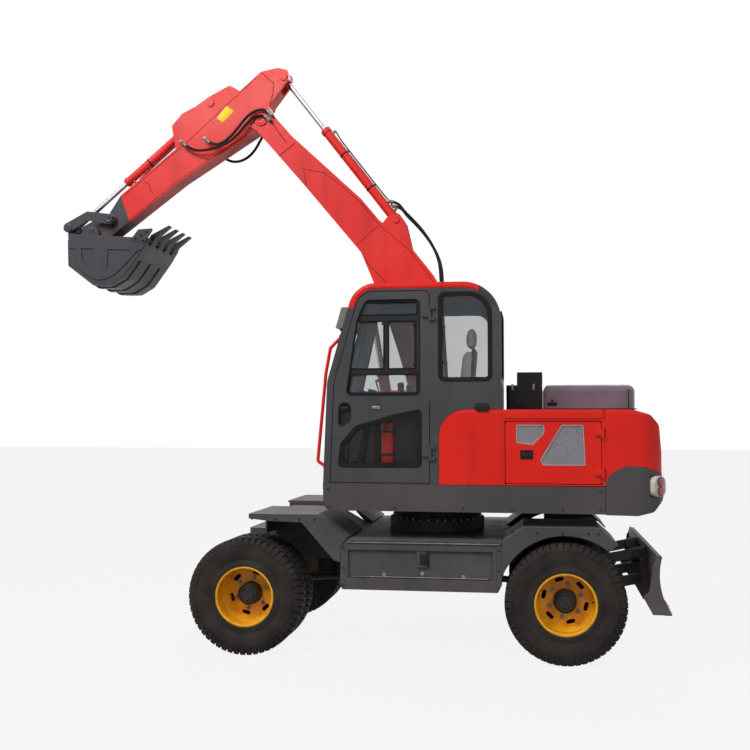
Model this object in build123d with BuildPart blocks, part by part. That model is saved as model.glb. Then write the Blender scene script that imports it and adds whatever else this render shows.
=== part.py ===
"""Wheeled excavator: undercarriage on twin wheels, slewing upper structure with cab, gooseneck boom,
stick, bucket and rear dozer blade.

Millimetres, +Z up. The machine faces -X, its left side (cab side) is -Y, and the origin lies on the
ground under the slew axis. Rows written as (x, z, r) are corners of a side outline with corner radius r.
"""
import math
import os

from build123d import *

os.makedirs("parts", exist_ok=True)

# Wheels and axles
TYRE_RADIUS = 485.0
TYRE_WIDTH = 236.0
TWIN_PITCH = 270.0
WHEEL_MID_Y = 897.0
FRONT_AXLE_X = -1505.0
REAR_AXLE_X = 1120.0
AXLE_Z = TYRE_RADIUS
RIM_RADIUS = 256.0
RIM_WALL = 9.0
RIM_FLANGE_RADIUS = 278.0
RIM_WIDTH = 208.0
RIM_LIP = 8.0
DISC_WALL = 12.0
HUB_BORE_RADIUS = 95.0
DRUM_RADIUS = 172.0
SPINDLE_RADIUS = 40.0
AXLE_TUBE_RADIUS = 60.0
DIFF_RADIUS = 150.0
KINGPIN_Y = 590.0
KINGPIN_RADIUS = 20.0
KNUCKLE_EYE_RADIUS = 42.0
STEER_ARM_X = 160.0
STEER_ARM_IN = 0.0
TIE_ROD_Z = 300.0
FIT = 0.05
SEAT = 0.3

# Chassis
FRAME_HALF = 290.0
FRAME_BOTTOM = 700.0
FRAME_TOP = 965.0
FRAME_FRONT = -1700.0
FRAME_REAR = 1440.0
BODY_HALF = 1050.0
BOX_HALF = 1095.0
BOX_FRONT = -690.0
BOX_REAR = 616.0
BOX_BOTTOM = 560.0
BOX_TOP = FRAME_TOP
FENDER_INNER = 600.0
FENDER_SHEET = 12.0
FENDER_FRONT_Z = 1168.0
FENDER_REAR_Z = 1088.0
ARCH_RADIUS = 540.0
PLATFORM_Z = 1130.0
TOW_EYE_X = -1775.0
TOW_EYE_RADIUS = 20.0
TOW_PLATES = [(780.0, 805.0), (835.0, 860.0)]
SLEW_RADIUS = 400.0
SLEW_SEAT_Z = 1060.0
SLEW_TOP_Z = 1160.0

# Blade at the rear, carried on a parallel linkage
BLADE_HALF = 1120.0
BLADE_LINK_X = 1320.0
BLADE_LOWER_Z = 500.0
BLADE_UPPER_Z = 720.0
BLADE_LINK = 450.0
BLADE_LINK_ANGLE = 12.0
BLADE_LIP = (1940.0, 421.0)
BLADE_CYLINDER_FOOT = (1360.0, 1020.0)
BLADE_CYLINDER_REACH = 300.0

# Upper structure
DECK_FRONT = -860.0
DECK_REAR = 1440.0
DECK_BOTTOM = 1200.0
DECK_TOP = 1420.0
DECK_FLOOR = 1255.0
TAIL_X = 1917.0
HOOD_TOP = 2035.0
CAB_REAR = 620.0
CAB_RIGHT = -205.0
CAB_TOP = 3088.0
ROOF_CAP = 50.0
DOOR_REAR = 30.0
DOOR_GAP = 6.0

# Working arm: pins in the side view (x, z) as they stand in the photo
BOOM_FOOT = (0.0, 1700.0)
STICK_PIN = (-1650.0, 4790.0)
BUCKET_PIN = (-3340.0, 3750.0)
BUCKET_LINK_PIN = (-3520.0, 3580.0)
ROCKER_PIN = (-3140.0, 3880.0)
ROCKER_END = (-3560.0, 3810.0)
BOOM_CYLINDER_FOOT = (-330.0, 1360.0)
BOOM_CYLINDER_EYE = (-620.0, 3050.0)
STICK_CYLINDER_FOOT = (-371.0, 3811.0)
STICK_CYLINDER_EYE = (-1442.0, 5203.0)
BUCKET_CYLINDER_FOOT = (-2165.0, 4985.0)
BOOM_HALF = 135.0
STICK_HALF = 100.0
STICK_TIP_HALF = 85.0
BUCKET_HALF = 400.0
BUCKET_SHEET = 16.0
PIN_RADIUS = 25.0


def block(x0, x1, y0, y1, z0, z1, mode=Mode.ADD):
    """A box between two corners."""
    with Locations(((x0 + x1) / 2, (y0 + y1) / 2, (z0 + z1) / 2)):
        return Box(abs(x1 - x0), abs(y1 - y0), abs(z1 - z0), mode=mode)


def fitting_radius(before, corner, after, radius):
    """The corner radius, reduced where the two sides next to the corner are too short for it."""
    side_a = Vector(before[0] - corner[0], before[1] - corner[1])
    side_b = Vector(after[0] - corner[0], after[1] - corner[1])
    half_turn = math.radians(180 - side_a.get_angle(side_b)) / 2
    if half_turn < 0.01:
        return 0.0
    return min(radius, 0.48 * min(side_a.length, side_b.length) / math.tan(half_turn))


def outline(rows, plane=Plane.XZ):
    """A closed face from rows of (x, z, corner radius)."""
    with BuildSketch(plane) as face:
        with BuildLine():
            Polyline(*[(row[0], row[1]) for row in rows], close=True)
        make_face()
        for index, (x, z, radius) in enumerate(rows):
            size = fitting_radius(rows[index - 1], (x, z), rows[(index + 1) % len(rows)], radius)
            if size:
                fillet(face.vertices().sort_by_distance((x, z))[0], size)
    return face.sketch


def plate(rows, y0, y1, mode=Mode.ADD):
    """A plate with a side outline, from y0 to y1."""
    low, high = min(y0, y1), max(y0, y1)
    return extrude(outline(rows, Plane.XZ.offset(-high)), amount=high - low, mode=mode)


def link_plate(p, rp, q, rq, y0, y1, mode=Mode.ADD):
    """A flat link: the hull of two discs, from y0 to y1."""
    low, high = min(y0, y1), max(y0, y1)
    with BuildSketch(Plane.XZ.offset(-high)) as face:
        with Locations(p):
            Circle(rp)
        with Locations(q):
            Circle(rq)
        make_hull()
    return extrude(face.sketch, amount=high - low, mode=mode)


def disc_y(pin, radius, y0, y1, bore=0.0, mode=Mode.ADD):
    """A round bar along Y at pin (x, z), from y0 to y1."""
    low, high = min(y0, y1), max(y0, y1)
    with BuildSketch(Plane.XZ.offset(-high)) as face:
        with Locations(pin):
            Circle(radius)
            if bore:
                Circle(bore, mode=Mode.SUBTRACT)
    return extrude(face.sketch, amount=high - low, mode=mode)


def bar(start, end, radius, bore=0.0, mode=Mode.ADD):
    """A round bar or tube between two points."""
    axis = Vector(*end) - Vector(*start)
    with BuildSketch(Plane(origin=start, z_dir=axis)) as face:
        Circle(radius)
        if bore:
            Circle(bore, mode=Mode.SUBTRACT)
    return extrude(face.sketch, amount=axis.length, mode=mode)


def along(start, end, distance):
    """The (x, z) point at a distance from start towards end."""
    length = math.dist(start, end)
    share = distance / length
    return (start[0] + (end[0] - start[0]) * share, start[1] + (end[1] - start[1]) * share)


def at_y(pin, y):
    """The side-view point (x, z) as a point in space."""
    return (pin[0], y, pin[1])


def cylinder_barrel(foot, eye, reach, radius, rod_radius, eye_half, y=0.0):
    """A hydraulic barrel from its foot pin towards the rod's eye, with an end cap, a tube and a gland."""
    disc_y(foot, radius, y - eye_half, y + eye_half)
    cap, tube, gland = along(foot, eye, radius + 20), along(foot, eye, reach - 40), along(foot, eye, reach)
    bar(at_y(foot, y), at_y(cap, y), radius * 0.9)
    bar(at_y(along(foot, eye, radius + 4), y), at_y(cap, y), radius)
    bar(at_y(cap, y), at_y(tube, y), radius, bore=radius - 8)
    bar(at_y(tube, y), at_y(gland, y), radius + 4, bore=rod_radius + FIT)
    disc_y(foot, PIN_RADIUS + FIT, y - eye_half - 1, y + eye_half + 1, mode=Mode.SUBTRACT)


def cylinder_rod(foot, eye, tail, rod_radius, eye_radius, eye_half, y=0.0):
    """A hydraulic rod from inside its barrel, tail millimetres from the foot pin, to its eye."""
    bar(at_y(along(foot, eye, tail), y), at_y(eye, y), rod_radius)
    disc_y(eye, eye_radius, y - eye_half, y + eye_half)


def turned(rows, mode=Mode.ADD):
    """A ring turned about the Y axis line of a wheel, from rows of (y, r)."""
    with BuildSketch(Plane.YZ) as face:
        with BuildLine():
            Polyline(*[(y, r) for y, r in rows], close=True)
        make_face()
    return revolve(face.sketch, axis=Axis.Y, revolution_arc=360, mode=mode)


def save(part, name):
    """Labels a finished piece and writes its file."""
    part.label = name
    export_step(part, f"parts/{name}.step")
    print(f"{name}: {len(part.solids())} solids")


# Wheels: tyres, rims and hubs, built on the left and mirrored to the right
inner_tyre_y = WHEEL_MID_Y - TWIN_PITCH / 2
outer_tyre_y = WHEEL_MID_Y + TWIN_PITCH / 2
half_tyre = TYRE_WIDTH / 2
half_rim = RIM_WIDTH / 2
tyre_bore = RIM_RADIUS + SEAT
bead_half = half_rim - RIM_LIP - SEAT
tyre_profile = [
    (-bead_half, tyre_bore),
    (-bead_half, RIM_FLANGE_RADIUS + 4),
    (-half_tyre, TYRE_RADIUS - 115),
    (-half_tyre * 0.97, TYRE_RADIUS - 55),
    (-half_tyre * 0.86, TYRE_RADIUS - 14),
    (-half_tyre * 0.70, TYRE_RADIUS),
]
rim_profile = [
    (-half_rim, RIM_FLANGE_RADIUS),
    (-half_rim, RIM_RADIUS - RIM_WALL),
    (half_rim, RIM_RADIUS - RIM_WALL),
    (half_rim, RIM_FLANGE_RADIUS),
    (half_rim - RIM_LIP, RIM_FLANGE_RADIUS),
    (half_rim - RIM_LIP, RIM_RADIUS),
    (-half_rim + RIM_LIP, RIM_RADIUS),
    (-half_rim + RIM_LIP, RIM_FLANGE_RADIUS),
]
DISHES = [(outer_tyre_y, 1), (inner_tyre_y, -1)]
for corner, x, side, first_hole in [
    ("front_left", FRONT_AXLE_X, -1, 15),
    ("front_right", FRONT_AXLE_X, 1, 15),
    ("rear_left", REAR_AXLE_X, -1, 45),
    ("rear_right", REAR_AXLE_X, 1, 45),
]:
    place = Location((x, 0, AXLE_Z))
    with BuildPart() as tyres:
        for centre in (inner_tyre_y, outer_tyre_y):
            right = [(-y, r) for y, r in reversed(tyre_profile)]
            turned([(side * (centre + y), r) for y, r in tyre_profile + right])
    save(place * tyres.part, f"tyres_{corner}")

    with BuildPart() as rims:
        for centre, out in DISHES:
            turned([(side * (centre + y), r) for y, r in rim_profile])
            face_y = WHEEL_MID_Y + out * DISC_WALL
            band_y = centre - out * (half_rim - 14)
            turned([
                (side * WHEEL_MID_Y, HUB_BORE_RADIUS + 0.5),
                (side * face_y, HUB_BORE_RADIUS + 0.5),
                (side * face_y, RIM_RADIUS - 52),
                (side * (band_y + out * DISC_WALL), RIM_RADIUS - RIM_WALL + 1),
                (side * band_y, RIM_RADIUS - RIM_WALL + 1),
                (side * WHEEL_MID_Y, RIM_RADIUS - 44),
            ])
        with BuildSketch(Plane.XZ.offset(-side * WHEEL_MID_Y)) as hand_holes:
            with PolarLocations(RIM_RADIUS - 82, 6, start_angle=first_hole):
                with Locations(Location((0, 0), 90)):
                    SlotOverall(74, 34)
        extrude(hand_holes.sketch, amount=DISC_WALL + 6, both=True, mode=Mode.SUBTRACT)
    save(place * rims.part, f"rims_{corner}")

    with BuildPart() as hub:
        turned([
            (side * 704, SPINDLE_RADIUS + FIT),
            (side * 704, DRUM_RADIUS),
            (side * (WHEEL_MID_Y - DISC_WALL - 16), DRUM_RADIUS),
            (side * (WHEEL_MID_Y - DISC_WALL), DRUM_RADIUS - 24),
            (side * (WHEEL_MID_Y - DISC_WALL), HUB_BORE_RADIUS),
            (side * 1000, HUB_BORE_RADIUS - 4),
            (side * 1020, HUB_BORE_RADIUS - 30),
            (side * 1020, 0),
            (side * 960, 0),
            (side * 960, SPINDLE_RADIUS + FIT),
        ])
    save(place * hub.part, f"hub_{corner}")

# Front axle: tube, differential and the eyes that hold the kingpins
eye_half = 50.0
with BuildPart() as front_axle:
    with BuildSketch(Plane.XZ) as tube:
        with Locations((FRONT_AXLE_X, AXLE_Z)):
            Circle(AXLE_TUBE_RADIUS)
    extrude(tube.sketch, amount=KINGPIN_Y - KNUCKLE_EYE_RADIUS - 8, both=True)
    with Locations((FRONT_AXLE_X, 0, AXLE_Z)):
        Sphere(DIFF_RADIUS)
    for side in (-1, 1):
        with Locations((FRONT_AXLE_X, side * KINGPIN_Y, AXLE_Z)):
            Cylinder(KNUCKLE_EYE_RADIUS, 2 * eye_half)
        block(FRONT_AXLE_X - 36, FRONT_AXLE_X + 36, side * (KINGPIN_Y - 64), side * (KINGPIN_Y - 20),
              AXLE_Z - eye_half, AXLE_Z + eye_half)
    bar((FRONT_AXLE_X, 0, AXLE_Z), (FRONT_AXLE_X + 230, 0, AXLE_Z), 62)
    bar((FRONT_AXLE_X - 90, 0, AXLE_Z + DIFF_RADIUS), (FRONT_AXLE_X + 90, 0, AXLE_Z + DIFF_RADIUS), 46)
    bar((FRONT_AXLE_X - 150, 0, AXLE_Z + DIFF_RADIUS), (FRONT_AXLE_X + 150, 0, AXLE_Z + DIFF_RADIUS), 22)
    for side in (-1, 1):
        with Locations((FRONT_AXLE_X, side * KINGPIN_Y, AXLE_Z)):
            Cylinder(KINGPIN_RADIUS + FIT, 4 * eye_half, mode=Mode.SUBTRACT)
save(front_axle.part, "front_axle")

with BuildPart() as rear_axle:
    with BuildSketch(Plane.XZ) as tube:
        with Locations((REAR_AXLE_X, AXLE_Z)):
            Circle(AXLE_TUBE_RADIUS)
    extrude(tube.sketch, amount=668, both=True)
    with Locations((REAR_AXLE_X, 0, AXLE_Z)):
        Sphere(DIFF_RADIUS)
    for side in (-1, 1):
        disc_y((REAR_AXLE_X, AXLE_Z), 110, side * 668, side * 684)
        disc_y((REAR_AXLE_X, AXLE_Z), SPINDLE_RADIUS, side * 684, side * 950)
    bar((REAR_AXLE_X, 0, AXLE_Z), (REAR_AXLE_X - 230, 0, AXLE_Z), 62)
save(rear_axle.part, "rear_axle")

# Steering knuckles with spindle and steering arm, and the tie rod behind the front axle
arm_y = KINGPIN_Y - STEER_ARM_IN
arm_x = FRONT_AXLE_X + STEER_ARM_X
ear_gap = 3.0
for name, side in (("knuckle_left", -1), ("knuckle_right", 1)):
    with BuildPart() as knuckle:
        with Locations((FRONT_AXLE_X, side * KINGPIN_Y, AXLE_Z)):
            Cylinder(KINGPIN_RADIUS, 2 * eye_half + 80)
        for z0, z1 in ((AXLE_Z + eye_half + ear_gap, AXLE_Z + eye_half + 42),
                       (TIE_ROD_Z + 30, AXLE_Z - eye_half - ear_gap)):
            with BuildSketch(Plane.XY.offset(z0)) as ear:
                with Locations((FRONT_AXLE_X, side * KINGPIN_Y)):
                    Circle(38)
            extrude(ear.sketch, amount=z1 - z0)
            block(FRONT_AXLE_X - 38, FRONT_AXLE_X + 38, side * KINGPIN_Y, side * (KINGPIN_Y + 74), z0, z1)
        block(FRONT_AXLE_X - 38, FRONT_AXLE_X + 38, side * (KINGPIN_Y + 48), side * (KINGPIN_Y + 74),
              TIE_ROD_Z + 30, AXLE_Z + eye_half + 42)
        disc_y((FRONT_AXLE_X, AXLE_Z), 110, side * (KINGPIN_Y + 74), side * 684)
        disc_y((FRONT_AXLE_X, AXLE_Z), SPINDLE_RADIUS, side * 684, side * 950)
        with BuildSketch(Plane.XY.offset(TIE_ROD_Z + 30)) as arm:
            with Locations((FRONT_AXLE_X, side * KINGPIN_Y)):
                Circle(34)
            with Locations((arm_x, side * arm_y)):
                Circle(26)
            make_hull()
        extrude(arm.sketch, amount=24)
        with Locations((arm_x, side * arm_y, TIE_ROD_Z + 4)):
            Cylinder(14, 60)
    save(knuckle.part, name)

with BuildPart() as tie_rod:
    bar((arm_x, -arm_y, TIE_ROD_Z), (arm_x, arm_y, TIE_ROD_Z), 18)
    with Locations((arm_x, -arm_y, TIE_ROD_Z), (arm_x, arm_y, TIE_ROD_Z)):
        Cylinder(28, 44)
    with Locations((arm_x, -arm_y, TIE_ROD_Z), (arm_x, arm_y, TIE_ROD_Z)):
        Cylinder(14 + FIT, 60, mode=Mode.SUBTRACT)
save(tie_rod.part, "tie_rod")

# Chassis frame: centre beam, slew pedestal, axle and blade brackets
with BuildPart() as chassis_frame:
    block(FRAME_FRONT, FRAME_REAR, -FRAME_HALF, FRAME_HALF, FRAME_BOTTOM, FRAME_TOP)
    edges = chassis_frame.edges().filter_by(Axis.Z)
    fillet(edges, 40)
    plate([(FRONT_AXLE_X + 40, FRAME_TOP - 5, 0), (FRONT_AXLE_X + 40, PLATFORM_Z - 60, 0),
           (FRONT_AXLE_X + 95, PLATFORM_Z, 0), (FRONT_AXLE_X + 535, PLATFORM_Z, 0),
           (BOX_FRONT - 10, FRAME_TOP + 12, 0), (BOX_FRONT - 10, FRAME_TOP - 5, 0)],
          -FRAME_HALF + 6, FRAME_HALF - 6)
    with BuildSketch(Plane.XY.offset(FRAME_TOP)) as pedestal:
        Circle(SLEW_RADIUS + 30)
    extrude(pedestal.sketch, amount=SLEW_SEAT_Z - FRAME_TOP)
    for x in (FRONT_AXLE_X - 125, FRONT_AXLE_X + 100):
        with BuildSketch(Plane.YZ.offset(x)) as saddle:
            with BuildLine():
                Polyline((-120, FRAME_BOTTOM), (-70, AXLE_Z + 117), (70, AXLE_Z + 117), (120, FRAME_BOTTOM),
                         close=True)
            make_face()
            with Locations((0, AXLE_Z + DIFF_RADIUS)):
                Circle(22.3, mode=Mode.SUBTRACT)
        extrude(saddle.sketch, amount=25)
    for side in (-1, 1):
        block(REAR_AXLE_X - 90, REAR_AXLE_X + 90, side * 240, side * FRAME_HALF, AXLE_Z - 30, FRAME_BOTTOM)
        disc_y((REAR_AXLE_X, AXLE_Z), AXLE_TUBE_RADIUS + SEAT, side * 230, side * 300, mode=Mode.SUBTRACT)
        plate([(FRAME_REAR - 200, FRAME_BOTTOM, 0), (FRAME_REAR - 200, BLADE_LOWER_Z - 60, 30),
               (BLADE_LINK_X + 60, BLADE_LOWER_Z - 60, 40), (BLADE_LINK_X + 60, FRAME_BOTTOM + 80, 40),
               (FRAME_REAR - 60, FRAME_BOTTOM + 90, 0)],
              side * 296, side * 320)
        block(REAR_AXLE_X + 130, FRAME_REAR - 10, side * (FRAME_HALF - 10), side * 320, FRAME_BOTTOM, FRAME_BOTTOM + 90)
        for pin_z in (BLADE_LOWER_Z, BLADE_UPPER_Z):
            disc_y((BLADE_LINK_X, pin_z), PIN_RADIUS, side * 296, side * 420)
        plate([(FRAME_REAR - 160, FRAME_TOP, 0), (BLADE_CYLINDER_FOOT[0] - 70, BLADE_CYLINDER_FOOT[1] + 50, 40),
               (BLADE_CYLINDER_FOOT[0] + 55, BLADE_CYLINDER_FOOT[1] + 50, 40), (FRAME_REAR, FRAME_TOP, 0)],
              side * 45, side * 70)
    disc_y(BLADE_CYLINDER_FOOT, PIN_RADIUS, -70, 70)
    for z0, z1 in TOW_PLATES:
        with BuildSketch(Plane.XY.offset(z0)) as tow_plate:
            with Locations((TOW_EYE_X, 0)):
                Circle(55)
            with Locations((FRAME_FRONT + 10, 0)):
                Circle(80)
            make_hull()
            with Locations((TOW_EYE_X, 0)):
                Circle(TOW_EYE_RADIUS, mode=Mode.SUBTRACT)
        extrude(tow_plate.sketch, amount=z1 - z0)
    block(BLADE_CYLINDER_FOOT[0] - 75, FRAME_REAR + 20, -44.7, 44.7, FRAME_BOTTOM - 20, FRAME_TOP + 5,
          mode=Mode.SUBTRACT)
save(chassis_frame.part, "chassis_frame")

with BuildPart() as slew_ring:
    with BuildSketch(Plane.XY.offset(SLEW_SEAT_Z)) as ring:
        Circle(SLEW_RADIUS)
        Circle(SLEW_RADIUS - 90, mode=Mode.SUBTRACT)
    extrude(ring.sketch, amount=SLEW_TOP_Z - SLEW_SEAT_Z)
save(slew_ring.part, "slew_ring")

# Side boxes between the wheels, with a recessed hatch and a toothed step strip on the outside
with BuildPart() as side_boxes:
    for side in (-1, 1):
        plate([(BOX_FRONT + 40, BOX_TOP, 0), (BOX_FRONT - 12, BOX_TOP - 70, 20), (BOX_FRONT - 12, BOX_BOTTOM + 60, 0),
               (BOX_FRONT, BOX_BOTTOM, 12), (BOX_REAR - 30, BOX_BOTTOM, 12), (BOX_REAR, BOX_BOTTOM + 60, 0),
               (BOX_REAR, BOX_TOP, 0)],
              side * (FRAME_HALF + SEAT), side * BOX_HALF)
        plate([(BOX_FRONT + 50, BOX_TOP - 80, 6), (BOX_FRONT + 50, BOX_BOTTOM + 95, 6),
               (BOX_REAR - 70, BOX_BOTTOM + 95, 6), (BOX_REAR - 70, BOX_TOP - 80, 6)],
              side * (BOX_HALF - 22), side * (BOX_HALF + 10), mode=Mode.SUBTRACT)
        block(-70, 10, side * (BOX_HALF - 24), side * (BOX_HALF - 6), BOX_TOP - 215, BOX_TOP - 80)
save(side_boxes.part, "side_boxes")

# Fenders: a folded sheet and an outer skirt with a round arch, front and rear on both sides
front_edge_x = FRONT_AXLE_X + 25
front_fold = [(front_edge_x, FENDER_FRONT_Z), (FRONT_AXLE_X + 605, FENDER_FRONT_Z), (BOX_FRONT + 40, BOX_TOP + 18)]
rear_fold = [(BOX_REAR + 4, BOX_TOP), (BOX_REAR + 170, FENDER_REAR_Z), (REAR_AXLE_X + 275, FENDER_REAR_Z),
             (REAR_AXLE_X + 412, FENDER_REAR_Z - 125)]
with BuildPart() as fenders:
    for side in (-1, 1):
        for fold in (front_fold, rear_fold):
            sheet = [(x, z, 0) for x, z in fold] + [(x, z - FENDER_SHEET - 2, 0) for x, z in reversed(fold)]
            plate(sheet, side * (FRAME_HALF + 20), side * 1100)
        skirt = [(front_edge_x, FENDER_FRONT_Z, 0), (FRONT_AXLE_X + 605, FENDER_FRONT_Z, 0),
                 (BOX_FRONT + 40, BOX_TOP + 18, 0), (BOX_FRONT - 13, BOX_TOP - 66, 0),
                 (BOX_FRONT - 13, BOX_TOP - 185, 0), (BOX_FRONT - 66, BOX_TOP - 170, 0),
                 (FRONT_AXLE_X + 475, FENDER_FRONT_Z - 66, 0), (FRONT_AXLE_X + 190, FENDER_FRONT_Z - 58, 0),
                 (front_edge_x, FENDER_FRONT_Z - 40, 0)]
        plate(skirt, side * 1092, side * 1100)
        skirt = [(BOX_REAR + 1, BOX_TOP - 2, 0), (BOX_REAR + 170, FENDER_REAR_Z, 0),
                 (REAR_AXLE_X + 275, FENDER_REAR_Z, 0), (REAR_AXLE_X + 412, FENDER_REAR_Z - 125, 0),
                 (REAR_AXLE_X + 370, FENDER_REAR_Z - 165, 0), (BOX_REAR + 1, BOX_BOTTOM + 60, 0)]
        plate(skirt, side * 1092, side * 1100)
        disc_y((REAR_AXLE_X, AXLE_Z), ARCH_RADIUS, side * 1080, side * 1110, mode=Mode.SUBTRACT)
        block(FRONT_AXLE_X + 45, FRONT_AXLE_X + 60, side * (FRAME_HALF + 20), side * 620,
              FRAME_TOP - 10, FENDER_FRONT_Z - FENDER_SHEET)
        block(FRONT_AXLE_X + 45, FRONT_AXLE_X + 560, side * (FRAME_HALF + SEAT), side * (FRAME_HALF + 22),
              FRAME_TOP - 80, FENDER_FRONT_Z - FENDER_SHEET)
        block(REAR_AXLE_X - 150, REAR_AXLE_X + 230, side * (FRAME_HALF + SEAT), side * (FRAME_HALF + 22),
              FRAME_TOP - 80, FENDER_REAR_Z - FENDER_SHEET)
save(fenders.part, "fenders")

with BuildPart() as drive_shafts:
    block(-190, 190, -130, 130, 500, FRAME_BOTTOM - SEAT)
    fillet(drive_shafts.edges().filter_by(Axis.Y), 40)
    for x in (FRONT_AXLE_X + 230 + SEAT, REAR_AXLE_X - 230 - SEAT):
        end = math.copysign(190 - 2, x)
        bar((x - math.copysign(30, x), 0, AXLE_Z), (end, 0, AXLE_Z + 60), 30)
        bar((x, 0, AXLE_Z), (x - math.copysign(60, x), 0, AXLE_Z), 48)
        bar((end + math.copysign(50, x), 0, AXLE_Z + 60), (end, 0, AXLE_Z + 60), 48)
save(drive_shafts.part, "drive_shafts")

# Dozer blade at the rear: curved moldboard with end plates, carried on lower and upper links
link_turn = math.radians(BLADE_LINK_ANGLE)
link_dx = BLADE_LINK * math.cos(link_turn)
link_dz = BLADE_LINK * math.sin(link_turn)
lower_pin = (BLADE_LINK_X, BLADE_LOWER_Z)
upper_pin = (BLADE_LINK_X, BLADE_UPPER_Z)
lower_end = (BLADE_LINK_X + link_dx, BLADE_LOWER_Z + link_dz)
upper_end = (BLADE_LINK_X + link_dx, BLADE_UPPER_Z + link_dz)
cylinder_end = along(lower_pin, lower_end, BLADE_CYLINDER_REACH)
with BuildPart() as blade_links:
    for side in (-1, 1):
        link_plate(lower_pin, 48, lower_end, 42, side * 330, side * 365)
        disc_y(lower_pin, PIN_RADIUS + FIT, side * 320, side * 375, mode=Mode.SUBTRACT)
        disc_y(lower_end, PIN_RADIUS + FIT, side * 320, side * 375, mode=Mode.SUBTRACT)
        disc_y(cylinder_end, 30, side * 90, side * 335)
        link_plate(cylinder_end, 44, cylinder_end, 30, side * 65, side * 90)
save(blade_links.part, "blade_lower_links")

with BuildPart() as blade_upper_links:
    for side in (-1, 1):
        link_plate(upper_pin, 44, upper_end, 40, side * 330, side * 365)
        disc_y(upper_pin, PIN_RADIUS + FIT, side * 320, side * 375, mode=Mode.SUBTRACT)
        disc_y(upper_end, PIN_RADIUS + FIT, side * 320, side * 375, mode=Mode.SUBTRACT)
save(blade_upper_links.part, "blade_upper_links")

lip_x, lip_z = BLADE_LIP
with BuildPart() as blade:
    with BuildSketch(Plane.XZ.offset(-BLADE_HALF)) as moldboard:
        with BuildLine():
            face_line = ThreePointArc((lip_x, lip_z), (lip_x - 90, lip_z + 250), (lip_x - 73, lip_z + 455))
            Polyline((lip_x - 73, lip_z + 455), (lip_x - 115, lip_z + 467), (lip_x - 128, lip_z + 420))
            ThreePointArc((lip_x - 128, lip_z + 420), (lip_x - 110, lip_z + 250), (lip_x - 60, lip_z))
            Line((lip_x - 60, lip_z), (lip_x, lip_z))
        make_face()
    extrude(moldboard.sketch, amount=2 * BLADE_HALF)
    for side in (-1, 1):
        for y in (0, 720):
            plate([(lip_x - 60, lip_z + 2, 0), (lip_x - 104, lip_z + 250, 0), (lip_x - 118, lip_z + 430, 0),
                   (lip_x - 144, lip_z + 392, 0), (lip_x - 175, lip_z + 180, 30),
                   (lip_x - 225, lip_z + 143, 20), (lip_x - 148, lip_z + 3, 0)],
                  side * (BLADE_HALF - y), side * (BLADE_HALF - y - 20))
        for end in (lower_end, upper_end):
            link_plate(end, 44, (lip_x - 118, end[1] + 10), 44, side * 378, side * 400)
            link_plate(end, 44, (lip_x - 118, end[1] + 10), 44, side * 295, side * 317)
            disc_y(end, PIN_RADIUS, side * 295, side * 400)
    with BuildSketch(Plane.XZ.offset(-BLADE_HALF - 1)) as front_space:
        with BuildLine():
            ThreePointArc((lip_x, lip_z), (lip_x - 90, lip_z + 250), (lip_x - 73, lip_z + 455))
            Polyline((lip_x - 73, lip_z + 455), (lip_x + 80, lip_z + 455), (lip_x + 80, lip_z), (lip_x, lip_z))
        make_face()
    extrude(front_space.sketch, amount=2 * BLADE_HALF + 2, mode=Mode.SUBTRACT)
save(blade.part, "blade")

with BuildPart() as blade_cylinder_barrel:
    cylinder_barrel(BLADE_CYLINDER_FOOT, cylinder_end, 420, 40, 20, 40)
save(blade_cylinder_barrel.part, "blade_cylinder_barrel")
with BuildPart() as blade_cylinder_rod:
    cylinder_rod(BLADE_CYLINDER_FOOT, cylinder_end, 130, 20, 34, 45)
save(blade_cylinder_rod.part, "blade_cylinder_rod")

# Deck of the upper structure: skirts round a floor, open in front between the boom plates
slot_half = 205.0
with BuildPart() as deck_frame:
    plate([(DECK_FRONT, DECK_TOP, 0), (DECK_FRONT + 8, DECK_BOTTOM, 70), (DECK_REAR, DECK_BOTTOM - 5, 0),
           (DECK_REAR, DECK_TOP - 5, 0)], -BODY_HALF, BODY_HALF)
    block(DECK_FRONT - 10, 330, -slot_half + 5, slot_half - 5, DECK_FLOOR, DECK_TOP + 10, mode=Mode.SUBTRACT)
    block(CAB_REAR + 60, DECK_REAR - 30, -BODY_HALF + 45, BODY_HALF - 45, DECK_FLOOR, DECK_TOP + 10,
          mode=Mode.SUBTRACT)
    block(DECK_FRONT + 60, CAB_REAR - 30, -BODY_HALF + 45, -slot_half - 20, DECK_FLOOR, DECK_TOP - 30,
          mode=Mode.SUBTRACT)
    with BuildSketch(Plane.XY.offset(SLEW_TOP_Z + SEAT)) as turntable:
        Circle(SLEW_RADIUS - 20)
    extrude(turntable.sketch, amount=DECK_BOTTOM - SLEW_TOP_Z)
    for side in (-1, 1):
        foot_x, foot_z = BOOM_FOOT
        plate([(-470, DECK_FLOOR - 5, 0), (-420, DECK_FLOOR + 150, 60), (foot_x - 150, foot_z - 60, 60),
               (foot_x - 95, foot_z + 105, 90), (foot_x + 105, foot_z + 105, 90), (330, DECK_FLOOR + 120, 60),
               (330, DECK_FLOOR - 5, 0)],
              side * 150, side * 178)
        disc_y(BOOM_FOOT, 70, side * 150, side * 190)
        plate([(BOOM_CYLINDER_FOOT[0] - 80, DECK_FLOOR - 5, 0), (BOOM_CYLINDER_FOOT[0] - 60, BOOM_CYLINDER_FOOT[1] + 60, 55),
               (BOOM_CYLINDER_FOOT[0] + 60, BOOM_CYLINDER_FOOT[1] + 60, 55), (BOOM_CYLINDER_FOOT[0] + 80, DECK_FLOOR - 5, 0)],
              side * 62, side * 88)
    disc_y(BOOM_FOOT, 35, -190, 190)
    disc_y(BOOM_CYLINDER_FOOT, PIN_RADIUS, -100, 100)
save(deck_frame.part, "deck_frame")

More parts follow.
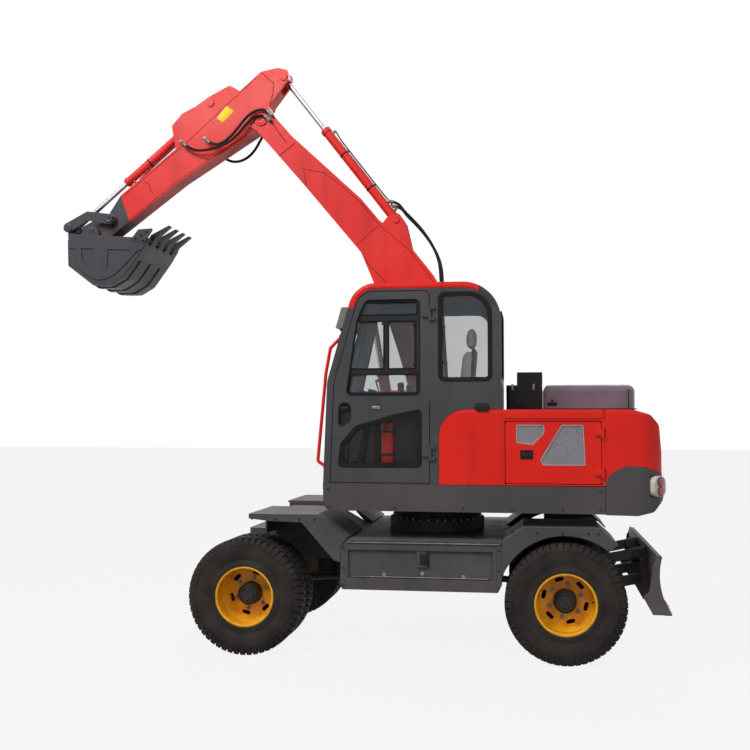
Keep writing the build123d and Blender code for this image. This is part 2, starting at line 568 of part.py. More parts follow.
# Cab shell: one side outline, hollow, with the door opening and windows cut
knee_z = 2270.0
front_low_x = DECK_FRONT + 2
front_knee_x = -826.0
front_top_x = -592.0
low_slope = (front_knee_x - front_low_x) / (knee_z - DECK_TOP)
high_slope = (front_top_x - front_knee_x) / (CAB_TOP - knee_z)


def cab_front_x(z, inset=0.0):
    """The X of the cab's front face at height z, moved inwards by an inset."""
    if z < knee_z:
        return front_low_x + (z - DECK_TOP) * low_slope + inset
    return front_knee_x + (z - knee_z) * high_slope + inset * math.hypot(1, high_slope)


def cab_side(inset, z0, z1, rear_x, front_radius, rear_radius):
    """Rows of the cab's side outline, moved in from the front, cut at a floor, a top and a rear edge."""
    turn_z = knee_z - 0.16 * inset
    knee = [(cab_front_x(turn_z, inset), turn_z, 300)] if z0 < turn_z else []
    return [(cab_front_x(z0, inset), z0, 0), *knee, (cab_front_x(z1, inset), z1, front_radius),
            (rear_x, z1, rear_radius), (rear_x, z0, 0)]


cab_floor_z = DECK_TOP + SEAT
wall = 50.0
roof_line = 2885.0
door_outline = cab_side(62, 1434, 3016, DOOR_REAR, 150, 40)
door_hole = cab_side(56, 1428, 3022, DOOR_REAR + DOOR_GAP, 156, 46)
rear_panel_x = 110.0
rear_panel_top = 2035.0
hinge_x = 38.0
hinge_y = -1067.0
HINGE_HEIGHTS = [2830.0, 1680.0]
WINDSHIELD = (-985.0, -270.0, 1600.0, 2850.0)
REAR_WINDOW = (-985.0, -270.0, 2300.0, 2850.0)
rear_side_window = [(115, 2275, 45), (115, 2995, 45), (536, 2995, 190), (536, 2275, 45)]
right_side_window = [(-700, 2060, 45), (-520, 2900, 60), (500, 2900, 120), (500, 2060, 45)]
with BuildPart() as cab_frame:
    plate(cab_side(0, cab_floor_z, CAB_TOP, CAB_REAR, 230, 320), -BODY_HALF, CAB_RIGHT)
    with BuildSketch(Plane.XZ.offset(-CAB_RIGHT - 10)) as cap_zone:
        with Locations((0, roof_line + 300)):
            Rectangle(3000, 600)
        add(outline(cab_side(50, 1000, CAB_TOP - ROOF_CAP, CAB_REAR - 50, 180, 270)), mode=Mode.SUBTRACT)
    extrude(cap_zone.sketch, amount=BODY_HALF + CAB_RIGHT + 20, mode=Mode.SUBTRACT)
    plate(cab_side(60, 1480, 3005, CAB_REAR - 55, 165, 260), -BODY_HALF + wall, CAB_RIGHT - 40, mode=Mode.SUBTRACT)
    plate(door_hole, -BODY_HALF - 5, -BODY_HALF + wall, mode=Mode.SUBTRACT)
    plate(rear_side_window, -BODY_HALF - 5, -BODY_HALF + wall + 5, mode=Mode.SUBTRACT)
    plate(right_side_window, CAB_RIGHT - 60, CAB_RIGHT + 5, mode=Mode.SUBTRACT)
    block(rear_panel_x - 2, CAB_REAR + 20, -BODY_HALF - 5, -BODY_HALF + wall, DECK_TOP - 20, rear_panel_top + 2,
          mode=Mode.SUBTRACT)
    y0, y1, z0, z1 = WINDSHIELD
    block(-900, -500, y0, y1, z0, z1, mode=Mode.SUBTRACT)
    y0, y1, z0, z1 = REAR_WINDOW
    block(CAB_REAR - 70, CAB_REAR + 20, y0, y1, z0, z1, mode=Mode.SUBTRACT)
    for z in HINGE_HEIGHTS:
        for low, high in ((z + 31, z + 60), (z - 60, z - 31)):
            with Locations((hinge_x, hinge_y, (low + high) / 2)):
                Cylinder(12, high - low)
            block(hinge_x, hinge_x + 40, hinge_y - 6, -BODY_HALF + 2, low, high)
        with Locations((hinge_x, hinge_y, z)):
            Cylinder(7, 120)
save(cab_frame.part, "cab_frame")

with BuildPart() as cab_roof:
    plate(cab_side(0, 1500, CAB_TOP, CAB_REAR, 230, 320), -BODY_HALF, CAB_RIGHT)
    plate(cab_side(50, 1000, CAB_TOP - ROOF_CAP, CAB_REAR - 50, 180, 270), -BODY_HALF - 5, CAB_RIGHT + 5,
          mode=Mode.SUBTRACT)
    block(-1200, 1200, -BODY_HALF - 5, CAB_RIGHT + 5, 1400, roof_line, mode=Mode.SUBTRACT)
save(cab_roof.part, "cab_roof")


def inner_rows(rows, amount):
    """Rows of a window outline with every corner moved towards its centre by an amount on both axes."""
    mid_x = sum(row[0] for row in rows) / len(rows)
    mid_z = sum(row[1] for row in rows) / len(rows)
    return [(x - math.copysign(amount, x - mid_x), z - math.copysign(amount, z - mid_z), r) for x, z, r in rows]


with BuildPart() as cab_glass:
    y0, y1, z0, z1 = WINDSHIELD
    z0, z1 = z0 + SEAT, z1 - SEAT
    front_rows = [(cab_front_x(z0, 20), z0, 0), (cab_front_x(knee_z, 20), knee_z, 0), (cab_front_x(z1, 20), z1, 0),
                  (cab_front_x(z1, 26), z1, 0), (cab_front_x(knee_z, 26), knee_z, 0), (cab_front_x(z0, 26), z0, 0)]
    plate(front_rows, y0 + SEAT, y1 - SEAT)
    y0, y1, z0, z1 = REAR_WINDOW
    block(CAB_REAR - 30, CAB_REAR - 24, y0 + SEAT, y1 - SEAT, z0 + SEAT, z1 - SEAT)
    plate(inner_rows(rear_side_window, SEAT), -BODY_HALF + 20, -BODY_HALF + 26)
    plate(inner_rows(right_side_window, SEAT), CAB_RIGHT - 24, CAB_RIGHT - 18)
save(cab_glass.part, "cab_glass")

# Cab door: frame with a recessed upper window in four panes and a stepped lower window
door_y = -BODY_HALF
upper_window = [(-668, 2150, 45), (-577, 2775, 200), (-500, 2950, 60), (-45, 2950, 45), (-45, 2150, 45)]
lower_window = [(-725, 1567, 30), (-704, 1750, 60), (-582, 1891, 90), (-305, 1974, 60), (-44, 2032, 25),
                (-44, 1567, 30)]
PANES = [
    [(-566, 2822, 15), (-505, 2930, 30), (-70, 2930, 30), (-70, 2822, 15)],
    [(-636, 2372, 15), (-576, 2773, 15), (-346, 2773, 15), (-346, 2372, 15)],
    [(-313, 2372, 15), (-313, 2773, 15), (-87, 2773, 15), (-87, 2372, 15)],
    [(-648, 2170, 15), (-628, 2330, 15), (-70, 2330, 15), (-70, 2170, 15)],
]
with BuildPart() as door_frame:
    plate(door_outline, door_y, door_y + wall)
    plate(upper_window, door_y - 5, door_y + 18, mode=Mode.SUBTRACT)
    for pane in PANES:
        plate(pane, door_y - 5, door_y + wall + 5, mode=Mode.SUBTRACT)
    plate(lower_window, door_y - 5, door_y + wall + 5, mode=Mode.SUBTRACT)
    plate([(-735, 1870, 55), (-725, 2095, 50), (-625, 2095, 50), (-625, 1940, 50)], door_y - 5, door_y + 28,
          mode=Mode.SUBTRACT)
    block(-712, -640, door_y + 8, door_y + 32, 2035, 2062)
    for z in HINGE_HEIGHTS:
        with Locations((hinge_x, hinge_y, z)):
            Cylinder(12, 60)
        block(-30, 22, hinge_y - 6, door_y + 2, z - 30, z + 30)
        block(18, hinge_x - 4, hinge_y - 6, hinge_y + 7, z - 30, z + 30)
        with Locations((hinge_x, hinge_y, z)):
            Cylinder(7 + FIT, 80, mode=Mode.SUBTRACT)
save(door_frame.part, "door_frame")

with BuildPart() as door_glass:
    for pane in PANES:
        plate(inner_rows(pane, SEAT), door_y + 26, door_y + 32)
    plate(inner_rows(lower_window, SEAT), door_y + 26, door_y + 32)
save(door_glass.part, "door_glass")

# Cab inside: seat, consoles with levers, steering column
seat_y = (-BODY_HALF + CAB_RIGHT) / 2
cab_floor = 1480.0
with BuildPart() as seat:
    block(-60, 260, seat_y - 150, seat_y + 150, cab_floor, 1800)
    block(-150, 300, seat_y - 240, seat_y + 240, 1800, 1930)
    fillet(seat.edges().filter_by(Axis.Y).group_by(Axis.Z)[-1], 35)
    plate([(215, 1900, 30), (300, 2560, 55), (400, 2560, 40), (350, 1850, 30)], seat_y - 230, seat_y + 230)
    plate([(318, 2540, 0), (330, 2740, 40), (400, 2740, 30), (385, 2540, 0)], seat_y - 130, seat_y + 130)
save(seat.part, "seat")

with BuildPart() as cab_controls:
    for side in (-1, 1):
        y = seat_y + side * 305
        block(-260, 240, y - 45, y + 45, cab_floor, 2060)
        bar((-200, y, 2055), (-215, y, 2150), 12)
        bar((-213, y, 2140), (-222, y, 2260), 26)
    block(-680, -560, seat_y - 110, seat_y + 110, cab_floor, cab_floor + 60)
    bar((-620, seat_y, cab_floor + 50), (-516, seat_y, 2160), 40)
    with Locations(Plane(origin=(-513, seat_y, 2170), z_dir=(0.26, 0, 0.97))):
        Torus(180, 14)
        Cylinder(40, 60)
        Box(350, 30, 14)
        Box(30, 350, 14)
    block(-560, -470, -330, -262, 1900, 2150)
    block(-545, -485, -300, -262, cab_floor, 1905)
save(cab_controls.part, "cab_controls")

# Engine bay: hood shell open under the bonnet and at the left door, engine, door and bonnet
hood_front = CAB_REAR + SEAT
hood_rear = 1444.0
BONNET_X = (965.0, 1750.0)
bonnet_half = 450.0
bonnet_hinge = (BONNET_X[1] - 14, HOOD_TOP + 22)
engine_door_x = (650.0, 1412.0)
engine_door_z = (1436.0, 1935.0)
engine_hinge = (1424.0, -1066.0)
with BuildPart() as hood:
    plate([(hood_front, DECK_TOP + SEAT, 0), (hood_front, HOOD_TOP, 0), (hood_rear, HOOD_TOP, 0),
           (hood_rear, DECK_TOP + SEAT, 0)], -BODY_HALF, BODY_HALF)
    block(hood_front + 20, hood_rear + 5, -BODY_HALF + 25, BODY_HALF - 25, DECK_TOP - 10, HOOD_TOP - 25,
          mode=Mode.SUBTRACT)
    block(engine_door_x[0] - 5, engine_door_x[1] + 5, -BODY_HALF - 5, -BODY_HALF + 30,
          engine_door_z[0] - 5, engine_door_z[1] + 5, mode=Mode.SUBTRACT)
    block(BONNET_X[0] + 25, hood_rear + 5, -bonnet_half + 25, bonnet_half - 25, HOOD_TOP - 30, HOOD_TOP + 5,
          mode=Mode.SUBTRACT)
    for z in (engine_door_z[0] + 90, engine_door_z[1] - 90):
        with Locations((engine_hinge[0], engine_hinge[1], z)):
            Cylinder(6, 90)
        for low, high in ((z + 21, z + 45), (z - 45, z - 21)):
            with Locations((engine_hinge[0], engine_hinge[1], (low + high) / 2)):
                Cylinder(11, high - low)
            block(engine_hinge[0] - 8, engine_hinge[0] + 8, engine_hinge[1], -BODY_HALF + 2, low, high)
    plate([(rear_panel_x, DECK_TOP + SEAT, 0), (rear_panel_x, rear_panel_top, 130), (CAB_REAR, rear_panel_top, 0),
           (CAB_REAR, DECK_TOP + SEAT, 0)], -BODY_HALF, -BODY_HALF + wall)
save(hood.part, "hood")

with BuildPart() as engine:
    block(800, 1360, -560, 480, 1330, 1880)
    fillet(engine.edges().filter_by(Axis.Y), 50)
    block(860, 1300, -440, 360, 1300, 1340)
    for x in (850, 1270):
        for y in (-420, 300):
            block(x, x + 60, y, y + 80, DECK_FLOOR, 1345)
save(engine.part, "engine")

small_grille = [(737, 1764, 0), (738, 1911, 0), (963, 1911, 0), (963, 1845, 0), (870, 1746, 15)]
large_grille = [(929, 1631, 0), (1100, 1911, 15), (1273, 1911, 0), (1289, 1583, 0), (948, 1583, 10)]
with BuildPart() as engine_door:
    block(engine_door_x[0], engine_door_x[1], -BODY_HALF, -BODY_HALF + 25, engine_door_z[0], engine_door_z[1])
    fillet(engine_door.edges().filter_by(Axis.Y), 18)
    for rows in (small_grille, large_grille):
        plate(rows, -BODY_HALF - 5, -BODY_HALF + 14, mode=Mode.SUBTRACT)
    block(768, 872, -BODY_HALF - 5, -BODY_HALF + 12, 1630, 1705, mode=Mode.SUBTRACT)
    for z in (engine_door_z[0] + 90, engine_door_z[1] - 90):
        with Locations((engine_hinge[0], engine_hinge[1], z)):
            Cylinder(11, 40)
        block(engine_door_x[1] - 50, engine_door_x[1] - 6, engine_hinge[1] - 6, -BODY_HALF + 2, z - 20, z + 20)
        block(engine_door_x[1] - 12, engine_hinge[0] - 4, engine_hinge[1] - 6, engine_hinge[1] + 8, z - 20, z + 20)
        with Locations((engine_hinge[0], engine_hinge[1], z)):
            Cylinder(6 + FIT, 60, mode=Mode.SUBTRACT)
save(engine_door.part, "engine_door")

bonnet_base = HOOD_TOP + 5.0
with BuildPart() as bonnet:
    with BuildSketch(Plane.XY.offset(bonnet_base)) as cover:
        with Locations(((BONNET_X[0] + BONNET_X[1]) / 2, 0)):
            Rectangle(BONNET_X[1] - BONNET_X[0], 2 * bonnet_half)
        fillet(cover.vertices().group_by(Axis.X)[-1], 160)
    extrude(cover.sketch, amount=215)
    fillet(bonnet.edges().group_by(Axis.Z)[-1], 60)
    block(BONNET_X[0] + 20, BONNET_X[1] - 60, -bonnet_half + 30, bonnet_half - 30, bonnet_base - 5,
          bonnet_base + 170, mode=Mode.SUBTRACT)
    block(bonnet_hinge[0], BONNET_X[1] + 5, -bonnet_half - 5, bonnet_half + 5, bonnet_base - 5, bonnet_hinge[1],
          mode=Mode.SUBTRACT)
    for side in (-1, 1):
        for y in (side * 134, side * 240):
            disc_y(bonnet_hinge, 34, y - 10, y + 10, mode=Mode.SUBTRACT)
        disc_y(bonnet_hinge, 10, side * 144, side * 230)
        disc_y(bonnet_hinge, 5 + FIT, side * 140, side * 235, mode=Mode.SUBTRACT)
save(bonnet.part, "bonnet")

# Counterweight and the cowl above it, with a rounded tail in plan
tail_plan_radius = 220.0


def tail_plan(z0, z1, mode):
    """A block over the tail with its two rear corners rounded in plan."""
    with BuildSketch(Plane.XY.offset(z0)) as plan:
        with Locations(((hood_rear + 2500) / 2 - 300, 0)):
            Rectangle(2500 - hood_rear + 600, 4000)
        with BuildSketch(mode=Mode.PRIVATE) as shape:
            with Locations(((hood_rear + TAIL_X) / 2, 0)):
                Rectangle(TAIL_X - hood_rear + 2, 2 * BODY_HALF + 2)
            fillet(shape.vertices().group_by(Axis.X)[-1], tail_plan_radius)
        add(shape.sketch, mode=Mode.SUBTRACT)
    return extrude(plan.sketch, amount=z1 - z0, mode=mode)


with BuildPart() as counterweight:
    plate([(hood_rear + SEAT, 1449, 0), (1496, 1528, 40), (1600, 1582, 60), (1749, 1576, 40), (1892, 1526, 0),
           (TAIL_X, 1374, 60), (TAIL_X - 14, 1309, 30), (TAIL_X - 94, 1216, 50), (1690, 1186, 0),
           (hood_rear + SEAT, 1190, 0)], -BODY_HALF, BODY_HALF)
    tail_plan(1100, 1700, Mode.SUBTRACT)
    for side in (-1, 1):
        with Locations(Plane(origin=(TAIL_X - 64, side * (BODY_HALF - 64), 1420), z_dir=(1, side, 0),
                             x_dir=(0, 0, 1))):
            Box(170.6, 150.6, 60.6, mode=Mode.SUBTRACT)
save(counterweight.part, "counterweight")

with BuildPart() as rear_cowl:
    plate([(hood_rear + SEAT, 1449.3, 0), (1496, 1528.3, 40), (1600, 1582.3, 60), (1749, 1576.3, 40),
           (1892, 1526.3, 0), (1892, 1688, 0), (1872, 1910, 70), (1800, 1992, 60), (1654, HOOD_TOP, 60),
           (hood_rear + SEAT, HOOD_TOP, 0)], -BODY_HALF, BODY_HALF)
    tail_plan(1300, 2200, Mode.SUBTRACT)
    plate([(hood_rear - 5, 1640, 0), (hood_rear - 5, HOOD_TOP - 60, 0), (1720, HOOD_TOP - 60, 0),
           (1800, 1880, 0), (1820, 1640, 0)], -BODY_HALF + 170, BODY_HALF - 170, mode=Mode.SUBTRACT)
    block(hood_rear - 5, 1640, -bonnet_half + 25, bonnet_half - 25, HOOD_TOP - 70, HOOD_TOP + 5, mode=Mode.SUBTRACT)
    for side in (-1, 1):
        for y in (side * 134, side * 240):
            block(bonnet_hinge[0] - 14, bonnet_hinge[0] + 14, y - 5, y + 5, HOOD_TOP - 60, bonnet_hinge[1] + 3)
        disc_y(bonnet_hinge, 5, side * 130, side * 245)
save(rear_cowl.part, "rear_cowl")

# Right side: tank and covers beside the boom
with BuildPart() as right_box:
    plate([(-800, DECK_TOP + SEAT, 0), (-780, 1930, 60), (-740, 1975, 60), (560, 2000, 60), (CAB_REAR, 1960, 30),
           (CAB_REAR, DECK_TOP + SEAT, 0)], 215, BODY_HALF)
    fillet(right_box.edges().filter_by(Axis.X).group_by(Axis.Y)[-1].sort_by(Axis.Z)[-1:], 60)
    with Locations((-480, 620, 1985)):
        Cylinder(55, 70)
    with Locations((250, 620, 2010)):
        Cylinder(70, 60)
save(right_box.part, "right_box")

with BuildPart() as air_cleaner:
    block(648, 955, -520, -200, HOOD_TOP + SEAT, 2250)
    fillet(air_cleaner.edges().filter_by(Axis.Z), 30)
    block(740, 955, -500, -220, 2240, 2362)
save(air_cleaner.part, "air_cleaner")


def rail(points, bend, radius):
    """A round rail through points, bent at every inner corner."""
    with BuildLine() as path:
        FilletPolyline(*points, radius=bend)
    start = path.wire() @ 0
    with BuildSketch(Plane(origin=start, z_dir=path.wire() % 0)) as section:
        Circle(radius)
    return sweep(section.sketch, path=path.wire())


with BuildPart() as grab_rails:
    rail([(-840, -1004, 1560), (-912, -1004, 1605), (-895, -1004, 1790), (-845, -1004, 2336), (-806, -1004, 2554),
          (-700, -1004, 2660)], 30, 14)
    plate([(cab_front_x(1400), 1400, 0), (cab_front_x(knee_z), knee_z, 0), (cab_front_x(2800), 2800, 0),
           (-300, 2800, 0), (-300, 1400, 0)], -1030, -980, mode=Mode.SUBTRACT)
    rail([(-700, 980, 1960), (-700, 980, 2240), (-150, 980, 2240), (-150, 980, 1970)], 60, 14)
    plate([(-800, DECK_TOP + SEAT, 0), (-780, 1930, 60), (-740, 1975, 60), (560, 2000, 60), (CAB_REAR, 1960, 30),
           (CAB_REAR, DECK_TOP + SEAT, 0)], 900, BODY_HALF + 10, mode=Mode.SUBTRACT)
save(grab_rails.part, "grab_rails")

with BuildPart() as work_lamps:
    for y in (-930, -330):
        plate([(cab_front_x(2722, -70), 2722, 8), (cab_front_x(2900, -70), 2900, 8), (cab_front_x(2900), 2900, 0),
               (cab_front_x(2722), 2722, 0)], y - 45, y + 45)
save(work_lamps.part, "work_lamps")

with BuildPart() as tail_lamps:
    for side in (-1, 1):
        with Locations(Plane(origin=(TAIL_X - 64, side * (BODY_HALF - 64), 1420), z_dir=(1, side, 0),
                             x_dir=(0, 0, 1))):
            Box(170, 150, 60)
save(tail_lamps.part, "tail_lamps")

# Boom: a box-section gooseneck with a fork at the stick pin
boom_rows = [(-108, 1680, 0), (-110, 1760, 0), (-300, 2450, 400), (-500, 3050, 0), (-690, 3503, 160),
             (-1234, 4156, 0), (-1507, 4473, 0), (-1740, 4740, 60), (-1690, 4900, 60), (-1588, 4894, 0),
             (-1352, 4621, 0), (-689, 4002, 0), (-522, 3800, 200), (-222, 3537, 0), (16, 3233, 250),
             (112, 1680, 0)]
with BuildPart() as boom:
    plate(boom_rows, -BOOM_HALF, BOOM_HALF)
    disc_y(BOOM_FOOT, 110, -149.7, 149.7)
    disc_y(STICK_PIN, 112, -BOOM_HALF, BOOM_HALF)
    disc_y(STICK_PIN, 172, -STICK_HALF - 7, STICK_HALF + 7, mode=Mode.SUBTRACT)
    for side in (-1, 1):
        disc_y(STICK_PIN, 60, side * (STICK_HALF + 7), side * (BOOM_HALF + 12))
    disc_y(STICK_PIN, 35, -BOOM_HALF, BOOM_HALF)
    disc_y(BOOM_FOOT, 35 + FIT, -160, 160, mode=Mode.SUBTRACT)
    disc_y(BOOM_CYLINDER_EYE, 112, -60, 60, mode=Mode.SUBTRACT)
    for side in (-1, 1):
        plate([(-380, 2900, 0), (-470, 2900, 0), (-600, 2950, 40), (-690, 3050, 55), (-650, 3130, 40),
               (-570, 3190, 0), (-450, 3190, 0)],
              side * 60, side * 85)
        plate([(-470, 3640, 0), (-500, 3775, 0), (-440, 3850, 40), (-345, 3872, 50), (-280, 3780, 30),
               (-222, 3530, 0), (-260, 3440, 0)],
              side * 60, side * 85)
        for pin in (BOOM_CYLINDER_EYE, STICK_CYLINDER_FOOT):
            disc_y(pin, 34, side * 85, side * 98)
    disc_y(STICK_CYLINDER_FOOT, PIN_RADIUS, -85, 85)
save(boom.part, "boom")

# Stick, with a pocket for the cylinder eye at its apex and lugs for the bucket cylinder on top
stick_rows = [(-1556, 4790, 0), (-1588, 4926, 60), (-1395, 5175, 0), (-1392, 5262, 40), (-1500, 5290, 40),
              (-1660, 5262, 60), (-2390, 4640, 0), (-3050, 4120, 0), (-3165, 3945, 0), (-3290, 3820, 30),
              (-3265, 3690, 30), (-3180, 3700, 0), (-2449, 4240, 0), (-1720, 4690, 0), (-1640, 4700, 0)]
with BuildPart() as stick:
    plate(stick_rows, -STICK_HALF, STICK_HALF)
    disc_y(STICK_PIN, 95, -STICK_HALF, STICK_HALF)
    for side in (-1, 1):
        disc_y(BUCKET_PIN, 235, side * STICK_TIP_HALF, side * (STICK_HALF + 5), mode=Mode.SUBTRACT)
    disc_y(BUCKET_PIN, 75, -STICK_TIP_HALF, STICK_TIP_HALF)
    disc_y(ROCKER_PIN, 50, -125, 125)
    disc_y(ROCKER_PIN, PIN_RADIUS, -168, 168)
    disc_y(STICK_CYLINDER_EYE, 140, -60, 60, mode=Mode.SUBTRACT)
    for side in (-1, 1):
        plate([(-1840, 5070, 0), (-1975, 5150, 40), (-2185, 5045, 50), (-2312, 4960, 0), (-2448, 4895, 40),
               (-2548, 4780, 20), (-2500, 4500, 0)], side * 60, side * 85)
        disc_y(BUCKET_CYLINDER_FOOT, 34, side * 85, side * 98)
        disc_y(STICK_CYLINDER_EYE, 36, side * 100, side * 112)
    disc_y(BUCKET_CYLINDER_FOOT, PIN_RADIUS, -85, 85)
    disc_y(STICK_PIN, 35 + FIT, -120, 120, mode=Mode.SUBTRACT)
    disc_y(BUCKET_PIN, PIN_RADIUS + FIT, -120, 120, mode=Mode.SUBTRACT)
save(stick.part, "stick")

# Bucket: sheet shell with lugs, wear strips and side cutters, and four teeth on the lip
lip = (-2642.0, 3641.0)
lip_root = (-2711.0, 3526.0)
lip_length = math.dist(lip, lip_root)
lip_run = ((lip[0] - lip_root[0]) / lip_length, (lip[1] - lip_root[1]) / lip_length)
lip_side = (-lip_run[1], lip_run[0])
tooth_tip = (-2478.0, 3766.0)
TOOTH_Y = [-285.0, -95.0, 95.0, 285.0]


def lip_point(run, side_step):
    """A side-view point measured from the outer lip corner, along the sheet and towards the inside."""
    return (lip[0] + lip_run[0] * run + lip_side[0] * side_step, lip[1] + lip_run[1] * run + lip_side[1] * side_step)


def rows_of(points, radius=0.0):
    """Side-view points as outline rows with one corner radius."""
    return [(x, z, radius) for x, z in points]


SIDE_BAND = [(-3440, 3703, 0), (-3431, 3567, 0), (-2745, 3528, 0), (-2712, 3530, 0), (-2648, 3640, 0)]
SIDE_ARC = [(-3372, 3572, 0), (-3352, 3420, 0), (-3270, 3320, 0), (-3155, 3258, 60), (-3080, 3262, 60),
            (-2975, 3305, 0), (-2855, 3420, 0), (-2745, 3535, 0), (-2812, 3535, 0), (-2930, 3440, 60),
            (-3045, 3345, 80), (-3140, 3325, 80), (-3215, 3360, 60), (-3295, 3450, 60), (-3313, 3572, 0)]
SIDE_UPRIGHT = [(-3179, 3572, 0), (-3040, 3572, 0), (-3058, 3321, 10), (-3167, 3314, 10)]
bucket_outer = [(-3440, 3704, 0), (-3428, 3576, 60), (-3433, 3395, 45), (-3180, 3205, 120), (-3022, 3205, 120),
                (-2890, 3280, 120), (-2711, 3526, 200), (-2642, 3641, 0)]
bucket_inner = [(-3430, 3780, 0), (-3423, 3703, 0), (-3412, 3576, 60), (-3417, 3402, 35), (-3174, 3221, 110),
                (-3026, 3221, 110), (-2900, 3293, 110)]
bucket_inner += rows_of([lip_point(-lip_length, BUCKET_SHEET), lip_point(0, BUCKET_SHEET), lip_point(110, BUCKET_SHEET)])

with BuildPart() as bucket_shell:
    plate(bucket_outer, -BUCKET_HALF, BUCKET_HALF)
    plate(bucket_inner, -BUCKET_HALF + BUCKET_SHEET, BUCKET_HALF - BUCKET_SHEET, mode=Mode.SUBTRACT)
    for side in (-1, 1):
        link_plate(BUCKET_PIN, 80, BUCKET_LINK_PIN, 52, side * 95, side * 125)
        plate([(-3505, 3550, 0), (-3475, 3465, 20), (-3429, 3430, 0), (-3429, 3620, 0)],
              side * 95, side * 125)
        plate([(-2820, 3628, 0), (-2745, 3722, 15), (-2600, 3728, 10), (-2690, 3590, 0)],
              side * (BUCKET_HALF - 2), side * (BUCKET_HALF + 16))
        disc_y(BUCKET_LINK_PIN, 36, side * 125, side * 138)
        for rib in (SIDE_BAND, SIDE_ARC, SIDE_UPRIGHT):
            plate(rib, side * (BUCKET_HALF - 2), side * (BUCKET_HALF + 9))
    plate([(-3421, 3660, 0), (-3411, 3576, 0), (-3416, 3450, 0), (-3200, 3450, 0), (-3200, 3660, 0)],
          -200, 200, mode=Mode.SUBTRACT)
    disc_y(BUCKET_PIN, PIN_RADIUS, -130, 130)
    for y in (-250, 0, 250):
        plate([(-3385, 3360, 0), (-3392, 3352, 0), (-3186, 3196, 0), (-3020, 3196, 60), (-2884, 3274, 80),
               (-2760, 3440, 0), (-2775, 3452, 0), (-2891, 3288, 0), (-3024, 3206, 0), (-3180, 3206, 0)],
              y - 40, y + 40)
save(bucket_shell.part, "bucket_shell")

tip_dir = ((tooth_tip[0] - lip[0]) / math.dist(tooth_tip, lip), (tooth_tip[1] - lip[1]) / math.dist(tooth_tip, lip))
with BuildPart() as bucket_teeth:
    for y in TOOTH_Y:
        tooth = [lip_point(-70, 0), lip_point(-52, -16), lip_point(20, -18),
                 (tooth_tip[0] + tip_dir[1] * 4, tooth_tip[1] - tip_dir[0] * 4),
                 (tooth_tip[0] - tip_dir[1] * 4, tooth_tip[1] + tip_dir[0] * 4),
                 lip_point(30, BUCKET_SHEET + 18), lip_point(-52, BUCKET_SHEET + 16), lip_point(-70, BUCKET_SHEET),
                 lip_point(0, BUCKET_SHEET), lip_point(0, 0)]
        plate(rows_of(tooth), y - 38, y + 38)
save(bucket_teeth.part, "bucket_teeth")

# Rocker arms and bucket link between the stick and the bucket
rocker_mid = (-3358.0, 3918.0)
with BuildPart() as rocker_links:
    for side in (-1, 1):
        link_plate(ROCKER_PIN, 50, rocker_mid, 42, side * 135, side * 160)
        link_plate(rocker_mid, 42, ROCKER_END, 46, side * 135, side * 160)
        disc_y(ROCKER_END, PIN_RADIUS, side * 45, side * 165)
        disc_y(ROCKER_PIN, PIN_RADIUS + FIT, side * 130, side * 170, mode=Mode.SUBTRACT)
save(rocker_links.part, "rocker_links")

with BuildPart() as bucket_link:
    for side in (-1, 1):
        link_plate(ROCKER_END, 42, BUCKET_LINK_PIN, 40, side * 50, side * 80)
        disc_y(ROCKER_END, PIN_RADIUS + FIT, side * 40, side * 90, mode=Mode.SUBTRACT)
    disc_y(BUCKET_LINK_PIN, 40, -86, 86)
save(bucket_link.part, "bucket_link")

# Hydraulic cylinders of the arm
ARM_CYLINDERS = [
    ("boom_cylinder", BOOM_CYLINDER_FOOT, BOOM_CYLINDER_EYE, 1050, 52, 30, 935, 48, 55, 55),
    ("stick_cylinder", STICK_CYLINDER_FOOT, STICK_CYLINDER_EYE, 1124, 45, 26, 873, 44, 50, 50),
    ("bucket_cylinder", BUCKET_CYLINDER_FOOT, ROCKER_END, 1130, 40, 24, 1024, 42, 50, 35),
]
for name, foot, eye, reach, radius, rod_radius, tail, eye_radius, foot_half, eye_half_y in ARM_CYLINDERS:
    with BuildPart() as barrel:
        cylinder_barrel(foot, eye, reach, radius, rod_radius, foot_half)
    save(barrel.part, f"{name}_barrel")
    with BuildPart() as rod:
        cylinder_rod(foot, eye, tail, rod_radius, eye_radius, eye_half_y)
    save(rod.part, f"{name}_rod")


def hose(points, radius):
    """A hose through points, each corner rounded as far as its two runs allow."""
    runs = [math.dist(points[i], points[i + 1]) for i in range(len(points) - 1)]
    bends = []
    for i in range(1, len(points) - 1):
        back = Vector(*points[i - 1]) - Vector(*points[i])
        ahead = Vector(*points[i + 1]) - Vector(*points[i])
        half_turn = math.radians(180 - back.get_angle(ahead)) / 2
        bends.append(0.45 * min(runs[i - 1], runs[i]) / math.tan(half_turn))
    with BuildLine() as path:
        FilletPolyline(*points, radius=bends)
    wire = path.wire()
    with BuildSketch(Plane(origin=wire @ 0, z_dir=wire % 0)) as section:
        Circle(radius)
    return sweep(section.sketch, path=wire)


